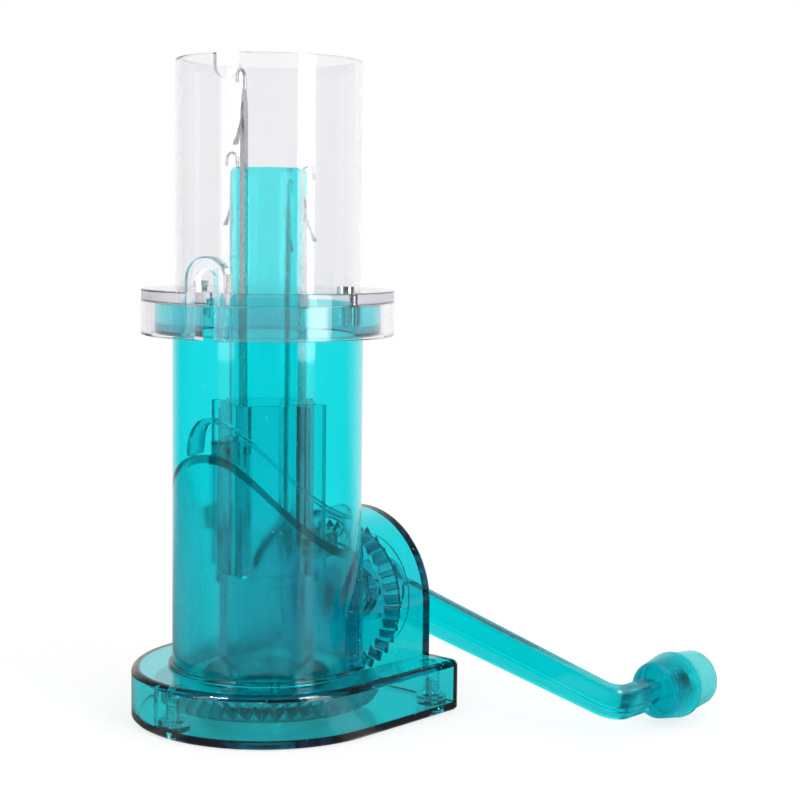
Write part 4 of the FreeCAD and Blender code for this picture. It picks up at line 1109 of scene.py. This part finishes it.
@dataclass
class CoverUnit(SubAssembly):
    """Clear cover with its collar, yarn guide and rim notch."""

    nodes: dict[str, Finish] = field(
        default_factory=lambda: {"yarn_cover": CLEAR_PLASTIC, "cover_screws": SCREW_STEEL}
    )
    screw_place: float = 0.0305
    screw_angle: float = 272.0
    thread_low: float = 0.1198
    thread_high: float = 0.1277

    def build(self) -> None:
        """Builds the threads of the two screws."""
        angle = math.radians(self.screw_angle)
        x_place, y_place = self.screw_place * math.cos(angle), self.screw_place * math.sin(angle)
        thread = Thread(self.thread_low, self.thread_high)
        places = [(x_place, y_place), (-x_place, -y_place)]
        steel = self.wardrobe.material(SCREW_STEEL)
        self.add(thread.build("cover_screw_threads", places, steel), Slot.SCREW)


@dataclass
class CylinderUnit(SubAssembly):
    """Needle cylinder on its ring gear."""

    nodes: dict[str, Finish] = field(
        default_factory=lambda: {
            "needle_cylinder": DRUM_PLASTIC,
            "ring_gear": RING_PLASTIC,
            "ring_gear_screws": SCREW_STEEL,
        }
    )


@dataclass
class NeedleUnit(SubAssembly):
    """One latch needle with its latch, rivet and carrier."""

    number: int = 1

    def __post_init__(self) -> None:
        """Names the needle's own nodes."""
        self.nodes = {
            f"needle_{self.number}": NEEDLE_STEEL,
            f"latch_{self.number}": NEEDLE_STEEL,
            f"latch_rivet_{self.number}": NEEDLE_STEEL,
            f"needle_carrier_{self.number}": CARRIER_PLASTIC,
        }


@dataclass
class CrankUnit(SubAssembly):
    """Crank gear, arm, knob and their screws."""

    nodes: dict[str, Finish] = field(
        default_factory=lambda: {
            "crank_gear": GEAR_PLASTIC,
            "crank_arm": ARM_PLASTIC,
            "crank_knob": KNOB_PLASTIC,
            "crank_screw": SCREW_STEEL,
            "knob_screw": PALE_STEEL,
        }
    )
    rides: Rides = Rides.CRANK

    def build(self) -> None:
        """Builds the specks in the arm."""
        self.specks("crank_arm", Specks(to_square_metre=3000.0, radius=0.00014))


@dataclass
class Studio:
    """White sweep, two tall softboxes and the camera at the photograph's angle."""

    turn: float = -44.471
    distance: float = 0.527711
    height: float = 0.147984
    focal_pixels: float = 1771.657
    image_pixels: float = 800.0
    sensor: float = 36.0
    pan: float = 4.289
    tilt: float = -5.693
    roll: float = 0.713
    floor_drop: float = 0.0003
    floor_half: float = 4.0
    floor_colour: Colour = (0.97, 0.97, 0.97)
    floor_behind: Range = (0.0, 0.4)
    box_turns: tuple[float, float] = (-50.5, 46.5)
    box_powers: tuple[float, float] = (2.0, 5.0)
    box_distance: float = 0.9
    box_width: float = 0.34
    box_height: float = 1.0
    box_rise: float = 0.54
    hot_power: float = 30.0
    hot_height: float = 0.30
    hot_rise: float = 1.19
    shadow_near: float = 0.12
    shadow_far: float = 0.60
    shadow_share: float = 0.28
    through_front: float = 0.60
    glossy_front: float = 0.22
    glossy_floor: float = 0.05
    floor_lamps: tuple[float, float] = (0.5, 0.9)
    lamp_spread: float = 13.0
    backdrop_lean: float = 0.2
    backdrop_range: Range = (0.4, 0.9)
    world_behind: Range = (-0.1, 0.6)
    rest_level: float = 1.0
    ceiling_dusk: float = 0.7
    dusk_range: Range = (0.35, 0.9)
    near_clip: float = 0.01

    def away(self) -> tuple[Vector, Vector]:
        """Level directions from the camera.

        Returns:
            The way ahead of the camera, and the way to its right.
        """
        turn = math.radians(self.turn)
        ahead = Vector((-math.sin(turn), math.cos(turn), 0.0))
        right = Vector((math.cos(turn), math.sin(turn), 0.0))
        return ahead, right

    def build(self) -> None:
        """Builds floor, world, lights and camera."""
        self.build_floor()
        self.build_world()
        self.build_softboxes()
        self.build_camera()

    def build_floor(self) -> None:
        """Lays a pale floor that stays white in the picture and keeps a faint shadow."""
        half = self.floor_half
        mesh = bpy.data.meshes.new("floor")
        corners = [(-half, -half), (half, -half), (half, half), (-half, half)]
        mesh.from_pydata([(x, y, -self.floor_drop) for x, y in corners], [], [(0, 1, 2, 3)])
        floor = bpy.data.objects.new("floor", mesh)
        bpy.context.scene.collection.objects.link(floor)
        material, sheet = new_material("floor_white")
        grey = sheet.node("ShaderNodeBsdfDiffuse", None, {"Color": self.floor_colour})
        rays = sheet.node("ShaderNodeLightPath")
        camera = Num(sheet, rays.outputs["Is Camera Ray"])
        through = Num(sheet, rays.outputs["Is Transmission Ray"])
        glossy = Num(sheet, rays.outputs["Is Glossy Ray"])
        seen = camera.most(glossy).most(through)
        x, y, _ = sheet.axes()
        out = (x * x + y * y) ** 0.5
        ahead, right = self.away()
        behind = (x * ahead.x + y * ahead.y).eased(*self.floor_behind)
        through_level = self.through_front + (1 - self.through_front) * behind
        lean = (ahead + self.backdrop_lean * right).normalized()
        backdrop = ((x * lean.x + y * lean.y) * out**-1.0).eased(*self.backdrop_range)
        glossy_level = self.glossy_floor + (1 - self.glossy_floor) * behind * backdrop
        edge = math.cos(math.radians(self.lamp_spread))
        for turn, lit in zip(self.box_turns, self.floor_lamps):
            way = self.lamp_way(turn)
            glossy_level = glossy_level + lit * ((x * way.x + y * way.y) * out**-1.0).eased(edge, 1.0)
        level = camera + through * through_level + (1 - through) * glossy * glossy_level
        glow = sheet.node("ShaderNodeEmission", None, {"Color": level, "Strength": 1.0})
        near = 1 - out.eased(self.shadow_near, self.shadow_far)
        shown = sheet.node(
            "ShaderNodeMixShader",
            None,
            {0: seen * (1 - near * self.shadow_share), 1: grey.outputs[0], 2: glow.outputs[0]},
        )
        sheet.node("ShaderNodeOutputMaterial", None, {"Surface": shown.outputs[0]})
        mesh.materials.append(material)

    def build_world(self) -> None:
        """White behind the object and all round it for the camera, dimmer from the camera's side."""
        world = bpy.data.worlds.new("studio")
        bpy.context.scene.world = world
        world.use_nodes = True
        sheet = NodeSheet(world.node_tree)
        ahead, right = self.away()
        where = sheet.node("ShaderNodeTexCoord").outputs["Generated"]
        behind = self.toward(sheet, where, ahead).eased(*self.world_behind)
        lean = ahead + self.backdrop_lean * right
        backdrop = self.toward(sheet, where, lean).eased(*self.backdrop_range)
        rays = sheet.node("ShaderNodeLightPath")
        camera = Num(sheet, rays.outputs["Is Camera Ray"])
        through = Num(sheet, rays.outputs["Is Transmission Ray"])
        glossy = Num(sheet, rays.outputs["Is Glossy Ray"])
        _, _, up = sheet.parts(where)
        dusk = 1 - self.ceiling_dusk * up.eased(*self.dusk_range)
        through_level = (self.through_front + (1 - self.through_front) * behind) * dusk
        glossy_level = (self.glossy_front + (1 - self.glossy_front) * backdrop) * dusk
        solid_level = glossy * glossy_level + (1 - glossy) * self.rest_level
        unseen_level = through * through_level + (1 - through) * solid_level
        level = camera + (1 - camera) * unseen_level
        light = sheet.node("ShaderNodeBackground", None, {"Color": (1.0, 1.0, 1.0), "Strength": level})
        sheet.node("ShaderNodeOutputWorld", None, {"Surface": light.outputs[0]})

    @staticmethod
    def toward(sheet: NodeSheet, where: bpy.types.NodeSocket, way: Vector) -> Num:
        """How far a direction points along another.

        Args:
            sheet: the world's tree.
            where: the direction's socket.
            way: the other direction.

        Returns:
            1 when they agree, -1 when they are opposite.
        """
        settings = {"operation": "DOT_PRODUCT"}
        made = sheet.node("ShaderNodeVectorMath", settings, {0: where, 1: way.normalized()})
        return Num(sheet, made.outputs["Value"])

    def lamp_way(self, turn: float) -> Vector:
        """The level direction from the object to a softbox.

        Args:
            turn: the softbox's angle from the camera, in degrees.

        Returns:
            The direction.
        """
        ahead, right = self.away()
        angle = math.radians(turn)
        return right * math.sin(angle) - ahead * math.cos(angle)

    def build_softboxes(self) -> None:
        """Stands a tall softbox on each side of the camera; its bright top only shows in reflections."""
        for turn, power in zip(self.box_turns, self.box_powers):
            self.add_lamp(turn, power, self.box_height, self.box_rise)
            top = self.add_lamp(turn, self.hot_power, self.hot_height, self.hot_rise)
            top.visible_diffuse = False
            top.visible_transmission = False

    def add_lamp(self, turn: float, power: float, height: float, rise: float) -> bpy.types.Object:
        """Stands an upright lamp beside the camera.

        Args:
            turn: its angle from the camera, in degrees.
            power: its power in watts.
            height: its height in metres.
            rise: its middle above the floor.

        Returns:
            The lamp.
        """
        way = self.lamp_way(turn)
        lamp = bpy.data.lights.new("softbox", "AREA")
        lamp.shape = "RECTANGLE"
        lamp.size = self.box_width
        lamp.size_y = height
        lamp.energy = power
        box = bpy.data.objects.new(lamp.name, lamp)
        spot = way * self.box_distance + Vector((0.0, 0.0, rise))
        turned = (-way).to_track_quat("-Z", "Y").to_matrix().to_4x4()
        box.matrix_world = Matrix.Translation(spot) @ turned
        bpy.context.scene.collection.objects.link(box)
        return box

    def build_camera(self) -> None:
        """Puts the camera where the photograph was taken."""
        ahead, right = self.away()
        up = Vector((0.0, 0.0, 1.0))
        pan, tilt, roll = (math.radians(x) for x in (self.pan, self.tilt, self.roll))
        spot = -ahead * self.distance + up * self.height
        look = ahead * math.cos(pan) + right * math.sin(pan)
        side = right * math.cos(pan) - ahead * math.sin(pan)
        view = look * math.cos(tilt) + up * math.sin(tilt)
        top = up * math.cos(tilt) - look * math.sin(tilt)
        picture_right = side * math.cos(roll) + top * math.sin(roll)
        picture_up = top * math.cos(roll) - side * math.sin(roll)
        camera_data = bpy.data.cameras.new("photo_camera")
        camera_data.sensor_width = self.sensor
        camera_data.lens = self.focal_pixels * self.sensor / self.image_pixels
        camera_data.clip_start = self.near_clip
        camera = bpy.data.objects.new("photo_camera", camera_data)
        turned = Matrix((picture_right, picture_up, -view)).transposed().to_4x4()
        camera.matrix_world = Matrix.Translation(spot) @ turned
        bpy.context.scene.collection.objects.link(camera)
        bpy.context.scene.camera = camera


def set_light_paths() -> None:
    """Lets light through the many nested walls of the plastic."""
    cycles = bpy.context.scene.cycles
    cycles.max_bounces = 64
    cycles.transmission_bounces = 40
    cycles.glossy_bounces = 48
    cycles.transparent_max_bounces = 24
    bpy.context.scene.view_settings.view_transform = "Standard"


def main() -> None:
    """Builds the scene in order."""
    logging.basicConfig(level=logging.INFO, format="%(name)s: %(message)s")
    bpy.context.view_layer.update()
    wardrobe = Wardrobe()
    units: list[SubAssembly] = [
        BaseUnit(wardrobe),
        TubeUnit(wardrobe),
        CoverUnit(wardrobe),
        CylinderUnit(wardrobe),
        *(NeedleUnit(wardrobe, number=number) for number in range(1, NEEDLE_COUNT + 1)),
        CrankUnit(wardrobe),
    ]
    for unit in units:
        unit.build()
        unit.dress()
    Studio().build()
    set_light_paths()


if __name__ == "__main__":
    main()
